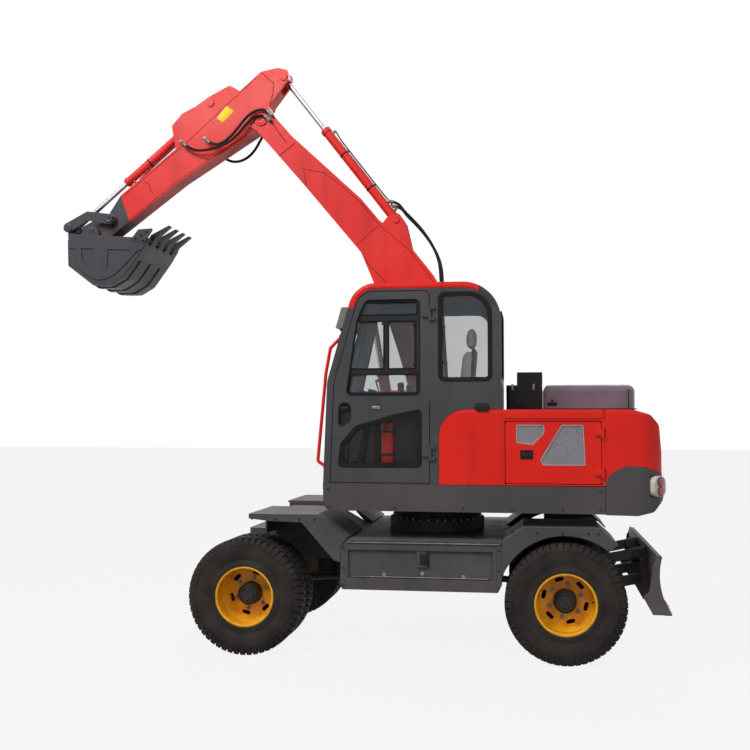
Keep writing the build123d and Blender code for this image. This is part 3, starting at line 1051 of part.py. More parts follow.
# Hoses: over the stick pin from the boom to the stick, and along the boom's back
hose_y = 166.0
NEAR_HOSES = [
    [(-1538, 4822), (-1600, 4880), (-1700, 4870), (-1780, 4815), (-1850, 4730), (-1925, 4640), (-2025, 4565),
     (-2115, 4559), (-2190, 4620)],
    [(-1560, 4776), (-1625, 4830), (-1720, 4805), (-1790, 4740), (-1860, 4655), (-1960, 4570), (-2110, 4520),
     (-2240, 4505), (-2340, 4530), (-2420, 4600)],
]
FAR_HOSES = [
    [(-1560, 4776), (-1640, 4790), (-1715, 4715), (-1780, 4590), (-1861, 4505), (-1975, 4465), (-2090, 4500),
     (-2190, 4590)],
]
with BuildPart() as arm_hoses:
    for y, routes in ((-hose_y, NEAR_HOSES), (hose_y, FAR_HOSES)):
        for route in routes:
            hose([(x, y, z) for x, z in route], 13)
            for x, z in (route[0], route[-1]):
                inner = BOOM_HALF + 2 if x > STICK_PIN[0] else STICK_HALF
                disc_y((x, z), 20, math.copysign(inner, y), math.copysign(hose_y + 16, y))
save(arm_hoses.part, "arm_hoses")

BOOM_HOSE = [(-425, 3975), (-350, 3965), (-290, 3880), (-225, 3815), (-130, 3710), (-40, 3580), (25, 3440),
             (48, 3300), (50, 3100)]
clamp_rows = [(16 + (3233 - z) * 96 / 1553 + 0.3, z, 0) for z in (3075, 3125)] + [(66, 3125, 6), (66, 3075, 6)]
with BuildPart() as boom_hose:
    for y in (-105, 105):
        hose([(x, y, z) for x, z in BOOM_HOSE], 13)
        plate(clamp_rows, y - 17, y + 17)
save(boom_hose.part, "boom_hose")
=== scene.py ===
"""Looks of the wheeled excavator: paint, rubber, glass, tyres, grilles, hoses, cab interior and small fittings."""
import math

import bmesh
import bpy
from mathutils import Euler, Matrix, Vector


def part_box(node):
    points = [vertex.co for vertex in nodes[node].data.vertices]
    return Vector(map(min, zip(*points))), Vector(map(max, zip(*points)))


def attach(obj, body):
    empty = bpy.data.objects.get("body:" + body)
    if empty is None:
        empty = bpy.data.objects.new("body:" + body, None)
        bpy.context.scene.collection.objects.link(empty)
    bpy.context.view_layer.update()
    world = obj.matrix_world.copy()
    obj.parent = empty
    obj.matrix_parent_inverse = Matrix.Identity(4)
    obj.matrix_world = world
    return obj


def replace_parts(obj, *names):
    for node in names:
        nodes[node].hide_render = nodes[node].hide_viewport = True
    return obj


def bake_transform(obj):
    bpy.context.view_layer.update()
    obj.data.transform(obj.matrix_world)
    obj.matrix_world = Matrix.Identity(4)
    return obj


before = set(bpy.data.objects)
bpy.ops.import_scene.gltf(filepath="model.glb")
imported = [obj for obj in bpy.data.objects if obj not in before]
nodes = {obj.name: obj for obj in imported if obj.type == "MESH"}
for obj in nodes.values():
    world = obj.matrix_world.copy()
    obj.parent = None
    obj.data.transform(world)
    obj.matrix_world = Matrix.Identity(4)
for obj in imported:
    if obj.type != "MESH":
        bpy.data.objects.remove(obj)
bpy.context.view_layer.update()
collection = bpy.context.scene.collection

# Places that come back, in millimetres
AXLE_Z = 485
FRONT_AXLE_X, REAR_AXLE_X = -1505, 1120
INNER_TYRE_Y, OUTER_TYRE_Y = 762, 1032
CAB_FACE = -1050
RIGHT_FACE = 1051
BUCKET_SIDE = 400.5
DECK_BOLT_Z = 1236
CLAMP_Z = (2820, 2480, 2140, 1900)
BACK_HOSE_Y = 105


def mm(x, y, z):
    """A point given in millimetres, in metres."""
    return Vector((x / 1000, y / 1000, z / 1000))


def linear(red, green, blue):
    """A display colour, 0 to 255, as a linear RGBA colour."""
    parts = [c / 255 for c in (red, green, blue)]
    return tuple(c / 12.92 if c <= 0.04045 else ((c + 0.055) / 1.055) ** 2.4 for c in parts) + (1.0,)


# Finishes
class Finish:
    """A material under construction: its tree, its shader and short ways to add nodes."""

    def __init__(self, name, **sockets):
        self.material = bpy.data.materials.new(name)
        self.material.use_nodes = True
        self.tree = self.material.node_tree
        self.shader = self.tree.nodes["Principled BSDF"]
        for key, value in sockets.items():
            self.shader.inputs[key.replace("_", " ")].default_value = value
        self.coords = self.add("ShaderNodeTexCoord").outputs["Object"]

    def add(self, kind, **settings):
        made = self.tree.nodes.new(kind)
        for key, value in settings.items():
            setattr(made, key, value)
        return made

    def join(self, source, target):
        self.tree.links.new(source, target)

    def noise(self, scale, detail=3.0, stretch=(1, 1, 1), rough=0.5):
        mapping = self.add("ShaderNodeMapping")
        mapping.inputs["Scale"].default_value = stretch
        self.join(self.coords, mapping.inputs["Vector"])
        texture = self.add("ShaderNodeTexNoise")
        texture.inputs["Scale"].default_value = scale
        texture.inputs["Detail"].default_value = detail
        texture.inputs["Roughness"].default_value = rough
        self.join(mapping.outputs["Vector"], texture.inputs["Vector"])
        return texture.outputs[0]

    def spread(self, value, low, high, start=0.0, end=1.0):
        """Maps low..high of a value to start..end, clamped."""
        made = self.add("ShaderNodeMapRange")
        for socket, number in zip(("From Min", "From Max", "To Min", "To Max"), (low, high, start, end)):
            made.inputs[socket].default_value = number
        self.join(value, made.inputs["Value"])
        return made.outputs["Result"]

    def math(self, operation, a, b):
        made = self.add("ShaderNodeMath", operation=operation)
        for socket, value in zip(made.inputs, (a, b)):
            if isinstance(value, (int, float)):
                socket.default_value = value
            else:
                self.join(value, socket)
        return made.outputs[0]

    def mix(self, share, a, b):
        """Colour a turning to colour b by a share."""
        made = self.add("ShaderNodeMix", data_type="RGBA")
        for socket, value in zip((made.inputs[0], made.inputs[6], made.inputs[7]), (share, a, b)):
            if isinstance(value, (int, float, tuple)):
                socket.default_value = value
            else:
                self.join(value, socket)
        return made.outputs[2]

    def part(self, axis, vector=None):
        """One component of the object position, or of another vector."""
        split = self.add("ShaderNodeSeparateXYZ")
        self.join(vector or self.coords, split.inputs[0])
        return split.outputs[axis]

    def edges(self, radius, soft=None):
        """A mask that is 1 along edges and corners, and the rounded normal there."""
        bevel = self.add("ShaderNodeBevel", samples=4)
        bevel.inputs["Radius"].default_value = radius
        dot = self.add("ShaderNodeVectorMath", operation="DOT_PRODUCT")
        self.join(bevel.outputs[0], dot.inputs[0])
        self.join(self.add("ShaderNodeNewGeometry").outputs["Normal"], dot.inputs[1])
        mask = self.spread(dot.outputs["Value"], 0.99, 0.88)
        if soft:
            bevel = self.add("ShaderNodeBevel", samples=6)
            self.join(self.spread(self.part(2), soft[0], soft[0] + 0.004, radius, soft[1]), bevel.inputs["Radius"])
        return mask, bevel.outputs[0]

    def bump(self, *layers, normal=None):
        """Stacks (height, distance) layers of bump under the shader."""
        for height, distance in layers:
            made = self.add("ShaderNodeBump")
            made.inputs["Strength"].default_value = 1.0
            made.inputs["Distance"].default_value = distance
            self.join(height, made.inputs["Height"])
            if normal:
                self.join(normal, made.inputs["Normal"])
            normal = made.outputs[0]
        self.join(normal, self.shader.inputs["Normal"])

    def done(self, colour, roughness=None):
        if isinstance(colour, tuple):
            self.shader.inputs["Base Color"].default_value = colour
        else:
            self.join(colour, self.shader.inputs["Base Color"])
        if roughness:
            self.join(roughness, self.shader.inputs["Roughness"])
        return self.material


def paint(name, colour, faded, bare, gloss=0.3, dust=0.25, wear=0.5, peel=0.00006, edge=0.004, coat=0.08, low_dust=0.3,
          soft=None, tip=None):
    """Sprayed paint: faded patches, runs of dirt, dust on upward faces, chips along edges, orange peel.

    soft is (height, radius) of rounder edges above a height; tip is (direction, distance, colour) of a second colour.
    """
    f = Finish(name, Coat_Weight=coat, Coat_Roughness=0.12, Specular_IOR_Level=0.22)
    shade = f.mix(f.spread(f.noise(1.3, 5), 0.35, 0.68), colour, faded)
    if tip:
        along = f.add("ShaderNodeVectorMath", operation="DOT_PRODUCT")
        f.join(f.coords, along.inputs[0])
        along.inputs[1].default_value = tip[0]
        shade = f.mix(f.spread(along.outputs["Value"], tip[1], tip[1] + 0.002), shade, tip[2])
    runs = f.spread(f.noise(7, 4, (1, 1, 0.12)), 0.52, 0.8, 0.0, 0.45)
    shade = f.mix(runs, shade, tuple(c * 0.55 for c in colour[:3]) + (1.0,))
    up = f.spread(f.part(2, f.add("ShaderNodeNewGeometry").outputs["Normal"]), 0.25, 0.95)
    patchy = f.spread(f.noise(9, 6), 0.35, 0.7, 0.25, 1.0)
    lying = f.math("MULTIPLY", f.math("MULTIPLY", up, patchy), dust)
    splash = f.math("MULTIPLY", f.spread(f.part(2), 1.15, 0.25, 0.0, low_dust), patchy)
    grime = f.math("MAXIMUM", lying, splash)
    shade = f.mix(grime, shade, linear(134, 127, 119))
    mask, rounded = f.edges(edge, soft)
    chips = f.math("MULTIPLY", mask, f.spread(f.noise(38, 5, rough=0.65), 0.56, 0.64, 0.0, wear))
    shade = f.mix(chips, shade, bare)
    rough = f.math("ADD", f.spread(f.noise(4, 4), 0.3, 0.7, gloss, gloss + 0.16), f.math("MULTIPLY", grime, 0.45))
    f.bump((f.noise(420, 2), peel), (f.noise(2.4, 2), 0.0012), normal=rounded)
    return f.done(shade, rough)


red_paint = paint("red_paint", linear(214, 22, 10), linear(224, 34, 18), linear(120, 22, 16), gloss=0.26, dust=0.1,
                  wear=0.35, low_dust=0.0)
hood_paint = paint("hood_paint", linear(214, 22, 10), linear(224, 34, 18), linear(120, 22, 16), gloss=0.26, dust=0.1,
                   wear=0.35, low_dust=0.0, soft=(1.945, 0.055))
roof_paint = paint("roof_paint", linear(214, 22, 10), linear(224, 34, 18), linear(120, 22, 16), gloss=0.24, dust=0.12,
                   wear=0.3, low_dust=0.0, soft=(2.9, 0.04), tip=((1, 0, 0), 0.435, linear(52, 51, 54)))
boom_paint = paint("boom_paint", linear(206, 30, 26), linear(214, 52, 46), linear(110, 30, 24), gloss=0.34, dust=0.2,
                   wear=0.55, low_dust=0.0)
stick_paint = paint("stick_paint", linear(206, 30, 26), linear(214, 52, 46), linear(110, 30, 24), gloss=0.34, dust=0.2,
                    wear=0.55, low_dust=0.0, tip=((-0.943, 0, -0.332), 1.508, linear(56, 58, 66)))
tooth_paint = paint("tooth_paint", linear(24, 24, 26), linear(34, 33, 34), linear(150, 146, 142), gloss=0.4, dust=0.1,
                    wear=0.95, edge=0.007, coat=0.03, low_dust=0.0)
graphite_paint = paint("graphite_paint", linear(66, 62, 64), linear(78, 73, 74), linear(120, 112, 106), gloss=0.38,
                       dust=0.3, wear=0.5, coat=0.05, low_dust=0.2)
chassis_paint = paint("chassis_paint", linear(60, 57, 59), linear(76, 72, 73), linear(120, 110, 102), gloss=0.45,
                      dust=0.34, wear=0.6, coat=0.03, low_dust=0.22)
blade_paint = paint("blade_paint", linear(62, 58, 59), linear(84, 78, 77), linear(140, 132, 124), gloss=0.45,
                    dust=0.3, wear=0.9, coat=0.03, low_dust=0.28)
arm_dark_paint = paint("arm_dark_paint", linear(50, 50, 56), linear(62, 62, 68), linear(130, 120, 112), gloss=0.36,
                       dust=0.15, wear=0.6, coat=0.05, low_dust=0.0)
cab_paint = paint("cab_paint", linear(58, 57, 60), linear(70, 68, 70), linear(96, 92, 90), gloss=0.32, dust=0.15,
                  wear=0.3, coat=0.06, low_dust=0.0)
bonnet_paint = paint("bonnet_paint", linear(104, 92, 104), linear(128, 116, 126), linear(70, 62, 70), gloss=0.3,
                     dust=0.25, wear=0.3, low_dust=0.0)
axle_iron = paint("axle_iron", linear(34, 32, 31), linear(48, 45, 43), linear(88, 80, 72), gloss=0.55, dust=0.35,
                  wear=0.5, peel=0.0005, coat=0.0, low_dust=0.35)
# Weld lines in a darker red, which paints the shade along the weld grooves.
weld_shade_red = paint("weld_shade_red", linear(118, 16, 14), linear(140, 26, 22), linear(80, 20, 18), gloss=0.4, dust=0.2,
                 wear=0.3, low_dust=0.0)
# Door frame: cab grey outside, and near-black inwards of its outer face, which is painted shade in its edges and on its
# inside.
door_paint_shaded_inside = paint("door_paint_shaded_inside", linear(58, 57, 60), linear(70, 68, 70), linear(96, 92, 90), gloss=0.32, dust=0.15,
                   wear=0.3, low_dust=0.0, tip=((0, 1, 0), -1.046, linear(20, 20, 21)))
black_paint = paint("black_paint", linear(22, 22, 24), linear(32, 32, 34), linear(80, 76, 74), gloss=0.34, dust=0.3,
                    wear=0.4, coat=0.05, low_dust=0.15)
pale_grille = paint("pale_grille", linear(150, 146, 152), linear(168, 164, 170), linear(110, 105, 105), gloss=0.35,
                    dust=0.2, wear=0.2, edge=0.001, low_dust=0.0)
cast_engine = paint("cast_engine", linear(52, 58, 56), linear(68, 74, 72), linear(110, 104, 98), gloss=0.5, dust=0.35,
                    wear=0.6, peel=0.0006, coat=0.0, low_dust=0.0)
safety_red = paint("safety_red", linear(196, 20, 14), linear(210, 30, 22), linear(120, 20, 16), gloss=0.2, dust=0.1,
                   wear=0.1, low_dust=0.0)


def rim_finish():
    """Yellow-orange rim paint with orange-brown patches in the dish: dirt, which also stands in as painted shade."""
    f = Finish("rim_paint", Coat_Weight=0.1, Coat_Roughness=0.15, Specular_IOR_Level=0.3)
    shade = f.mix(f.spread(f.noise(14, 4), 0.35, 0.65), linear(240, 178, 26), linear(234, 164, 16))
    # Orange-brown patches: dirt that also paints the shade seen in the dish.
    grime = f.spread(f.noise(11, 6, rough=0.6), 0.46, 0.78, 0.0, 0.6)
    shade = f.mix(grime, shade, linear(186, 92, 16))
    mask, rounded = f.edges(0.003)
    shade = f.mix(f.math("MULTIPLY", mask, f.spread(f.noise(60, 4), 0.5, 0.6, 0.0, 0.4)), shade, linear(120, 84, 40))
    f.bump((f.noise(380, 2), 0.00008), normal=rounded)
    return f.done(shade, f.spread(f.noise(9, 4), 0.3, 0.7, 0.28, 0.5))


def rubber_finish(name, colour, dusty, grain, share):
    """Rubber with dry dust and fine grain."""
    f = Finish(name, Specular_IOR_Level=0.18)
    shade = f.mix(f.spread(f.noise(6, 6, rough=0.6), 0.38, 0.7, 0.0, share), colour, dusty)
    speckle = f.spread(f.noise(130, 3), 0.55, 0.75, 0.0, 0.35)
    shade = f.mix(speckle, shade, tuple(min(c * 1.8, 1.0) for c in colour[:3]) + (1.0,))
    f.bump((f.noise(320, 3), grain), (f.noise(34, 4), grain * 3))
    return f.done(shade, f.spread(f.noise(12, 4), 0.3, 0.7, 0.62, 0.88))


rim_paint = rim_finish()
tyre_rubber = rubber_finish("tyre_rubber", linear(32, 29, 28), linear(76, 69, 64), 0.0004, 0.48)
hose_rubber = rubber_finish("hose_rubber", linear(22, 22, 23), linear(50, 47, 45), 0.0001, 0.35)
seal_rubber = rubber_finish("seal_rubber", linear(16, 16, 17), linear(34, 33, 33), 0.0001, 0.3)


def metal_finish(name, colour, dark, rough, scratch):
    """Bare metal with stains and fine scratches."""
    f = Finish(name, Metallic=1.0)
    shade = f.mix(f.spread(f.noise(16, 6, rough=0.6), 0.45, 0.75, 0.0, 0.7), colour, dark)
    f.bump((f.noise(240, 2, (1, 4, 1)), scratch), normal=f.edges(0.002)[1])
    return f.done(shade, f.spread(f.noise(30, 5), 0.3, 0.7, rough, rough + 0.25))


def rod_finish(name, eye, eye_paint):
    """A polished chrome rod, faintly stained; around its eye, a point in side view in millimetres, it is painted."""
    f = Finish(name)
    side_view = f.add("ShaderNodeVectorMath", operation="MULTIPLY")
    f.join(f.coords, side_view.inputs[0])
    side_view.inputs[1].default_value = (1, 0, 1)
    apart = f.add("ShaderNodeVectorMath", operation="DISTANCE")
    f.join(side_view.outputs[0], apart.inputs[0])
    apart.inputs[1].default_value = (eye[0] / 1000, 0, eye[1] / 1000)
    rod = f.spread(apart.outputs["Value"], 0.063, 0.065)
    f.join(rod, f.shader.inputs["Metallic"])
    stain = f.spread(f.noise(16, 6, rough=0.6), 0.45, 0.75, 0.0, 0.3)
    shade = f.mix(rod, eye_paint, f.mix(stain, linear(196, 196, 201), linear(150, 150, 156)))
    f.bump((f.noise(40, 2), 0.00001))
    return f.done(shade, f.math("ADD", f.spread(rod, 0, 1, 0.4, 0.22), f.spread(f.noise(30, 5), 0.3, 0.7, 0.0, 0.08)))


chrome_rod = rod_finish("chrome_rod", (0, 0), linear(170, 170, 176))
boom_rod_finish = rod_finish("boom_rod_finish", (-620, 3050), linear(150, 16, 14))
stick_rod_finish = rod_finish("stick_rod_finish", (-1442, 5203), linear(120, 14, 14))
bucket_rod_finish = rod_finish("bucket_rod_finish", (-3560, 3810), linear(50, 50, 56))
worn_steel = metal_finish("worn_steel", linear(150, 146, 142), linear(74, 66, 60), 0.34, 0.0002)
zinc_steel = metal_finish("zinc_steel", linear(128, 125, 119), linear(74, 68, 62), 0.42, 0.0001)


def plastic_finish(name, colour, rough, grain):
    """Moulded plastic with a fine grain and scuffs."""
    f = Finish(name, Specular_IOR_Level=0.22)
    scuffs = f.spread(f.noise(20, 5, rough=0.6), 0.55, 0.75, 0.0, 0.3)
    shade = f.mix(scuffs, colour, tuple(min(c * 2.0 + 0.01, 1.0) for c in colour[:3]) + (1.0,))
    voronoi = f.add("ShaderNodeTexVoronoi")
    voronoi.inputs["Scale"].default_value = 600
    f.join(f.coords, voronoi.inputs["Vector"])
    mask, rounded = f.edges(0.002)
    f.bump((voronoi.outputs["Distance"], grain), normal=rounded)
    return f.done(shade, f.spread(f.noise(15, 4), 0.3, 0.7, rough, rough + 0.18))


black_plastic = plastic_finish("black_plastic", linear(22, 22, 23), 0.42, 0.0002)
grey_plastic = plastic_finish("grey_plastic", linear(118, 114, 108), 0.5, 0.0002)
label_yellow = plastic_finish("label_yellow", linear(232, 196, 40), 0.35, 0.00002)
mirror_grey = plastic_finish("lamp_bezel", linear(196, 188, 180), 0.25, 0.00005)


def fabric_finish(name, colour, light):
    """Woven seat fabric, threads crossing at right angles."""
    f = Finish(name, Sheen_Weight=0.35)
    weave = []
    for direction in ("X", "Z"):
        wave = f.add("ShaderNodeTexWave", bands_direction=direction)
        wave.inputs["Scale"].default_value = 260
        wave.inputs["Distortion"].default_value = 0.6
        f.join(f.coords, wave.inputs["Vector"])
        weave.append(wave.outputs["Fac"])
    cloth = f.math("MAXIMUM", weave[0], weave[1])
    shade = f.mix(f.spread(f.noise(90, 4), 0.4, 0.7, 0.0, 0.6), colour, light)
    shade = f.mix(f.spread(cloth, 0.2, 0.9, 0.35, 0.0), shade, tuple(c * 0.4 for c in colour[:3]) + (1.0,))
    f.bump((cloth, 0.0006), (f.noise(40, 3), 0.0008))
    return f.done(shade, f.spread(f.noise(25, 3), 0.3, 0.7, 0.8, 0.95))


seat_fabric = fabric_finish("seat_fabric", linear(206, 203, 188), linear(222, 219, 205))


def lens_finish(name, colour, rough):
    """A coloured lens with fine moulded ribs."""
    f = Finish(name, Transmission_Weight=0.35, IOR=1.49, Coat_Weight=0.6, Coat_Roughness=0.05)
    wave = f.add("ShaderNodeTexWave", bands_direction="Z")
    wave.inputs["Scale"].default_value = 60
    f.join(f.coords, wave.inputs["Vector"])
    shade = f.mix(f.spread(f.noise(30, 4), 0.3, 0.7, 0.0, 0.35), colour, tuple(c * 0.5 for c in colour[:3]) + (1.0,))
    f.bump((wave.outputs["Fac"], 0.0004))
    return f.done(shade, f.spread(f.noise(20, 3), 0.3, 0.7, rough, rough + 0.1))


red_lens = lens_finish("red_lens", linear(200, 16, 12), 0.12)
clear_lens = lens_finish("clear_lens", linear(226, 224, 214), 0.08)


def glass_finish():
    """Window glass: light grey above, dust streaks with a painted reflection; near-black below, painted shade of the
    dark cab inside; and a clear reflection.
    """
    f = Finish("window_glass", Roughness=0.03, IOR=1.45, Alpha=0.2, Coat_Weight=0.3, Coat_Roughness=0.02)
    streaks = f.spread(f.noise(3.5, 6, (1, 1, 0.25), rough=0.6), 0.42, 0.8, 0.0, 0.6)
    dust_and_reflection = f.mix(streaks, linear(92, 100, 106), linear(150, 152, 154))
    # Near-black below 2.02 m is painted shade of the cab inside; the light grey above is dust and painted reflection.
    shade = f.mix(f.spread(f.part(2), 2.02, 2.16), linear(16, 19, 19), dust_and_reflection)
    return f.done(shade, f.spread(f.noise(5, 5), 0.3, 0.8, 0.03, 0.16))


window_glass = glass_finish()

CARRIED = {
    red_paint: ["engine_door", "right_box", "grab_rails"],
    hood_paint: ["hood", "rear_cowl"],
    roof_paint: ["cab_roof"],
    boom_paint: ["boom", "boom_cylinder_barrel", "stick_cylinder_barrel", "bucket_cylinder_barrel"],
    stick_paint: ["stick"],
    graphite_paint: ["deck_frame", "counterweight"],
    cab_paint: ["cab_frame"],
    door_paint_shaded_inside: ["door_frame"],
    chassis_paint: ["chassis_frame", "side_boxes", "fenders", "blade_lower_links", "blade_upper_links"],
    blade_paint: ["blade"],
    arm_dark_paint: ["bucket_shell", "rocker_links", "bucket_link"],
    bonnet_paint: ["bonnet"],
    axle_iron: ["front_axle", "rear_axle", "knuckle_left", "knuckle_right", "tie_rod", "drive_shafts", "slew_ring",
                "blade_cylinder_barrel"],
    black_paint: ["hub_front_left", "hub_front_right", "hub_rear_left", "hub_rear_right"],
    rim_paint: ["rims_front_left", "rims_front_right", "rims_rear_left", "rims_rear_right"],
    chrome_rod: ["blade_cylinder_rod"],
    boom_rod_finish: ["boom_cylinder_rod"],
    stick_rod_finish: ["stick_cylinder_rod"],
    bucket_rod_finish: ["bucket_cylinder_rod"],
    tooth_paint: ["bucket_teeth"],
    black_plastic: ["air_cleaner", "cab_controls"],
    grey_plastic: ["work_lamps"],
    mirror_grey: ["tail_lamps"],
    window_glass: ["cab_glass", "door_glass"],
    cast_engine: ["engine"],
    hose_rubber: ["arm_hoses", "boom_hose"],
    seat_fabric: ["seat"],
    tyre_rubber: ["tyres_front_left", "tyres_front_right", "tyres_rear_left", "tyres_rear_right"],
}
for material, names in CARRIED.items():
    for name in names:
        mesh = nodes[name].data
        if not mesh.materials:
            mesh.materials.append(material)
        for index in range(len(mesh.materials)):
            mesh.materials[index] = material


# Mesh helpers
def settle(name, mesh, body, materials=None, smooth=32):
    """Makes a piece of a mesh, shades it and lets it ride on a body."""
    if materials:
        mesh.materials.clear()
        for material in materials:
            mesh.materials.append(material)
    mesh.polygons.foreach_set("use_smooth", [True] * len(mesh.polygons))
    mesh.set_sharp_from_angle(angle=math.radians(smooth))
    piece = bpy.data.objects.new(name, mesh)
    collection.objects.link(piece)
    if body:
        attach(piece, body)
    return piece


def to_mesh(name, work):
    """The mesh that a bmesh holds."""
    mesh = bpy.data.meshes.new(name)
    work.normal_update()
    work.to_mesh(mesh)
    work.free()
    return mesh


def applied(work_object):
    """The finished mesh of an object with its modifiers, and the object removed."""
    bpy.context.view_layer.update()
    mesh = bpy.data.meshes.new_from_object(work_object.evaluated_get(bpy.context.evaluated_depsgraph_get()))
    bpy.data.objects.remove(work_object)
    return mesh


def add_block(work, low, high, radius=0.0, turn=None, about=None, material=0):
    """Adds a box between two corners, with rounded edges."""
    low, high = Vector(low), Vector(high)
    made = bmesh.ops.create_cube(work, size=1)["verts"]
    size = high - low
    bmesh.ops.transform(work, matrix=Matrix.Translation((low + high) / 2) @ Matrix.Diagonal((*size, 1)), verts=made)
    faces = list({face for vert in made for face in vert.link_faces})
    if radius:
        edges = list({edge for vert in made for edge in vert.link_edges})
        done = bmesh.ops.bevel(work, geom=edges, offset=radius, segments=2, profile=0.5, affect="EDGES")
        faces = list(set(done["faces"]) | {face for face in faces if face.is_valid})
    for face in faces:
        face.material_index = material
    if turn:
        verts = list({vert for face in faces for vert in face.verts})
        centre = Vector(about) if about else (low + high) / 2
        matrix = Matrix.Translation(centre) @ turn.to_matrix().to_4x4() @ Matrix.Translation(-centre)
        bmesh.ops.transform(work, matrix=matrix, verts=verts)
    return faces


def add_turned(work, rows, start, axis, steps=24, material=0):
    """Adds a closed body turned about an axis from rows of (distance along the axis, radius)."""
    start, axis = Vector(start), Vector(axis).normalized()
    side = axis.orthogonal().normalized()
    other = axis.cross(side)
    rings = []
    for distance, radius in rows:
        centre = start + axis * distance
        if radius < 1e-6:
            rings.append([work.verts.new(centre)])
            continue
        rings.append([work.verts.new(centre + (side * math.cos(a) + other * math.sin(a)) * radius)
                      for a in (2 * math.pi * k / steps for k in range(steps))])
    for one, two in zip(rings, rings[1:]):
        for k in range(steps):
            corners = [one[k % len(one)], one[(k + 1) % len(one)], two[(k + 1) % len(two)], two[k % len(two)]]
            unique = list(dict.fromkeys(corners))
            if len(unique) > 2:
                work.faces.new(unique).material_index = material
    for ring in (rings[0], rings[-1]):
        if len(ring) > 1 and rows[0] != rows[-1]:
            work.faces.new(ring).material_index = material


def arc_rows(rows, inset=0.0, steps=6):
    """Points along an outline of (u, v, corner radius) rows, moved inwards by an inset."""
    corners = [Vector((u, v)) for u, v, radius in rows]
    count = len(corners)
    area = sum(corners[k - 1].x * corners[k].y - corners[k].x * corners[k - 1].y for k in range(count))
    turn = 1 if area > 0 else -1
    points = []
    for k, (u, v, radius) in enumerate(rows):
        before = (corners[k] - corners[k - 1]).normalized()
        after = (corners[(k + 1) % count] - corners[k]).normalized()
        inward_a = Vector((-before.y, before.x)) * turn
        inward_b = Vector((-after.y, after.x)) * turn
        half = (inward_a + inward_b).normalized()
        corner = corners[k] + half * (inset / max(half.dot(inward_a), 0.2))
        bend = before.angle(after)
        small = max(radius - inset, 0.0005) if radius > 0 else 0.0005
        reach = small * math.tan(bend / 2)
        limit = 0.45 * min((corners[k] - corners[k - 1]).length, (corners[(k + 1) % count] - corners[k]).length)
        reach = min(reach, limit)
        small = reach / max(math.tan(bend / 2), 1e-6)
        convex = before.cross(after) * turn > 0
        centre = corner + half * (small / max(math.cos(bend / 2), 1e-6)) * (1 if convex else -1)
        first, last = corner - before * reach - centre, corner + after * reach - centre
        for step in range(steps + 1):
            share = step / steps
            mixed = first.lerp(last, share)
            if mixed.length > 1e-9:
                mixed = mixed.normalized() * small
            points.append(centre + mixed)
    return points


def add_band(work, outer, inner, place, near, far, material=0):
    """Adds a ring between two outlines with as many points, from depth near to depth far."""
    loops = [[work.verts.new(place(p.x, p.y, d)) for p in line] for line in (outer, inner) for d in (near, far)]
    count = len(outer)
    for a, b in ((0, 1), (1, 3), (3, 2), (2, 0)):
        for k in range(count):
            m = (k + 1) % count
            work.faces.new([loops[a][k], loops[a][m], loops[b][m], loops[b][k]]).material_index = material


def add_slab(work, line, place, near, far, material=0):
    """Adds a solid slab with an outline, from depth near to depth far."""
    a, b = [[work.verts.new(place(p.x, p.y, d)) for p in line] for d in (near, far)]
    work.faces.new(a).material_index = material
    work.faces.new(list(reversed(b))).material_index = material
    for k in range(len(line)):
        m = (k + 1) % len(line)
        work.faces.new([a[k], b[k], b[m], a[m]]).material_index = material


def outward(work):
    """Turns every face of a bmesh outwards."""
    bmesh.ops.remove_doubles(work, verts=work.verts, dist=1e-6)
    bmesh.ops.recalc_face_normals(work, faces=work.faces)


def pipe_mesh(points, radius, order=3, resolution=10, ring=3):
    """The mesh of a round line through control points."""
    curve = bpy.data.curves.new("line", "CURVE")
    curve.dimensions = "3D"
    spline = curve.splines.new("NURBS" if order > 2 else "POLY")
    spline.points.add(len(points) - 1)
    for point, place in zip(spline.points, points):
        point.co = (*place, 1.0)
    if order > 2:
        spline.order_u = order
        spline.use_endpoint_u = True
    curve.resolution_u = resolution
    curve.bevel_depth = radius
    curve.bevel_resolution = ring
    curve.use_fill_caps = True
    return applied_curve(curve)


def applied_curve(curve):
    """The mesh of a curve."""
    holder = bpy.data.objects.new("line", curve)
    collection.objects.link(holder)
    mesh = applied(holder)
    bpy.data.curves.remove(curve)
    return mesh


def join_meshes(parts):
    """A bmesh with several meshes, each placed by a matrix and given a material number."""
    work = bmesh.new()
    for mesh, matrix, material in parts:
        old = len(work.verts), len(work.faces)
        work.from_mesh(mesh)
        work.verts.ensure_lookup_table()
        work.faces.ensure_lookup_table()
        bmesh.ops.transform(work, matrix=matrix, verts=work.verts[old[0]:])
        if material is not None:
            for face in work.faces[old[1]:]:
                face.material_index = material
    return work


# Geometry trees for what repeats
def tree_input(tree, modifier, name, value):
    """Sets a modifier's input by its identifier."""
    for item in tree.interface.items_tree:
        if item.item_type == "SOCKET" and item.in_out == "INPUT" and item.name == name:
            modifier[item.identifier] = value


def new_tree(name, inputs):
    """A geometry tree with named inputs."""
    tree = bpy.data.node_groups.new(name, "GeometryNodeTree")
    tree.interface.new_socket("Geometry", in_out="INPUT", socket_type="NodeSocketGeometry")
    tree.interface.new_socket("Geometry", in_out="OUTPUT", socket_type="NodeSocketGeometry")
    for label, kind in inputs:
        tree.interface.new_socket(label, in_out="INPUT", socket_type=kind)
    source, sink = tree.nodes.new("NodeGroupInput"), tree.nodes.new("NodeGroupOutput")
    return tree, source, sink


def named(tree, name, kind):
    """A node that reads a point attribute."""
    made = tree.nodes.new("GeometryNodeInputNamedAttribute")
    made.data_type = kind
    made.inputs["Name"].default_value = name
    return made.outputs["Attribute"]


def hand_out(tree, source, sink, shape):
    """Gives a shape its finish and hands it out of the tree."""
    finish = tree.nodes.new("GeometryNodeSetMaterial")
    tree.links.new(shape, finish.inputs["Geometry"])
    tree.links.new(source.outputs["Finish"], finish.inputs["Material"])
    tree.links.new(finish.outputs[0], sink.inputs["Geometry"])
    return tree


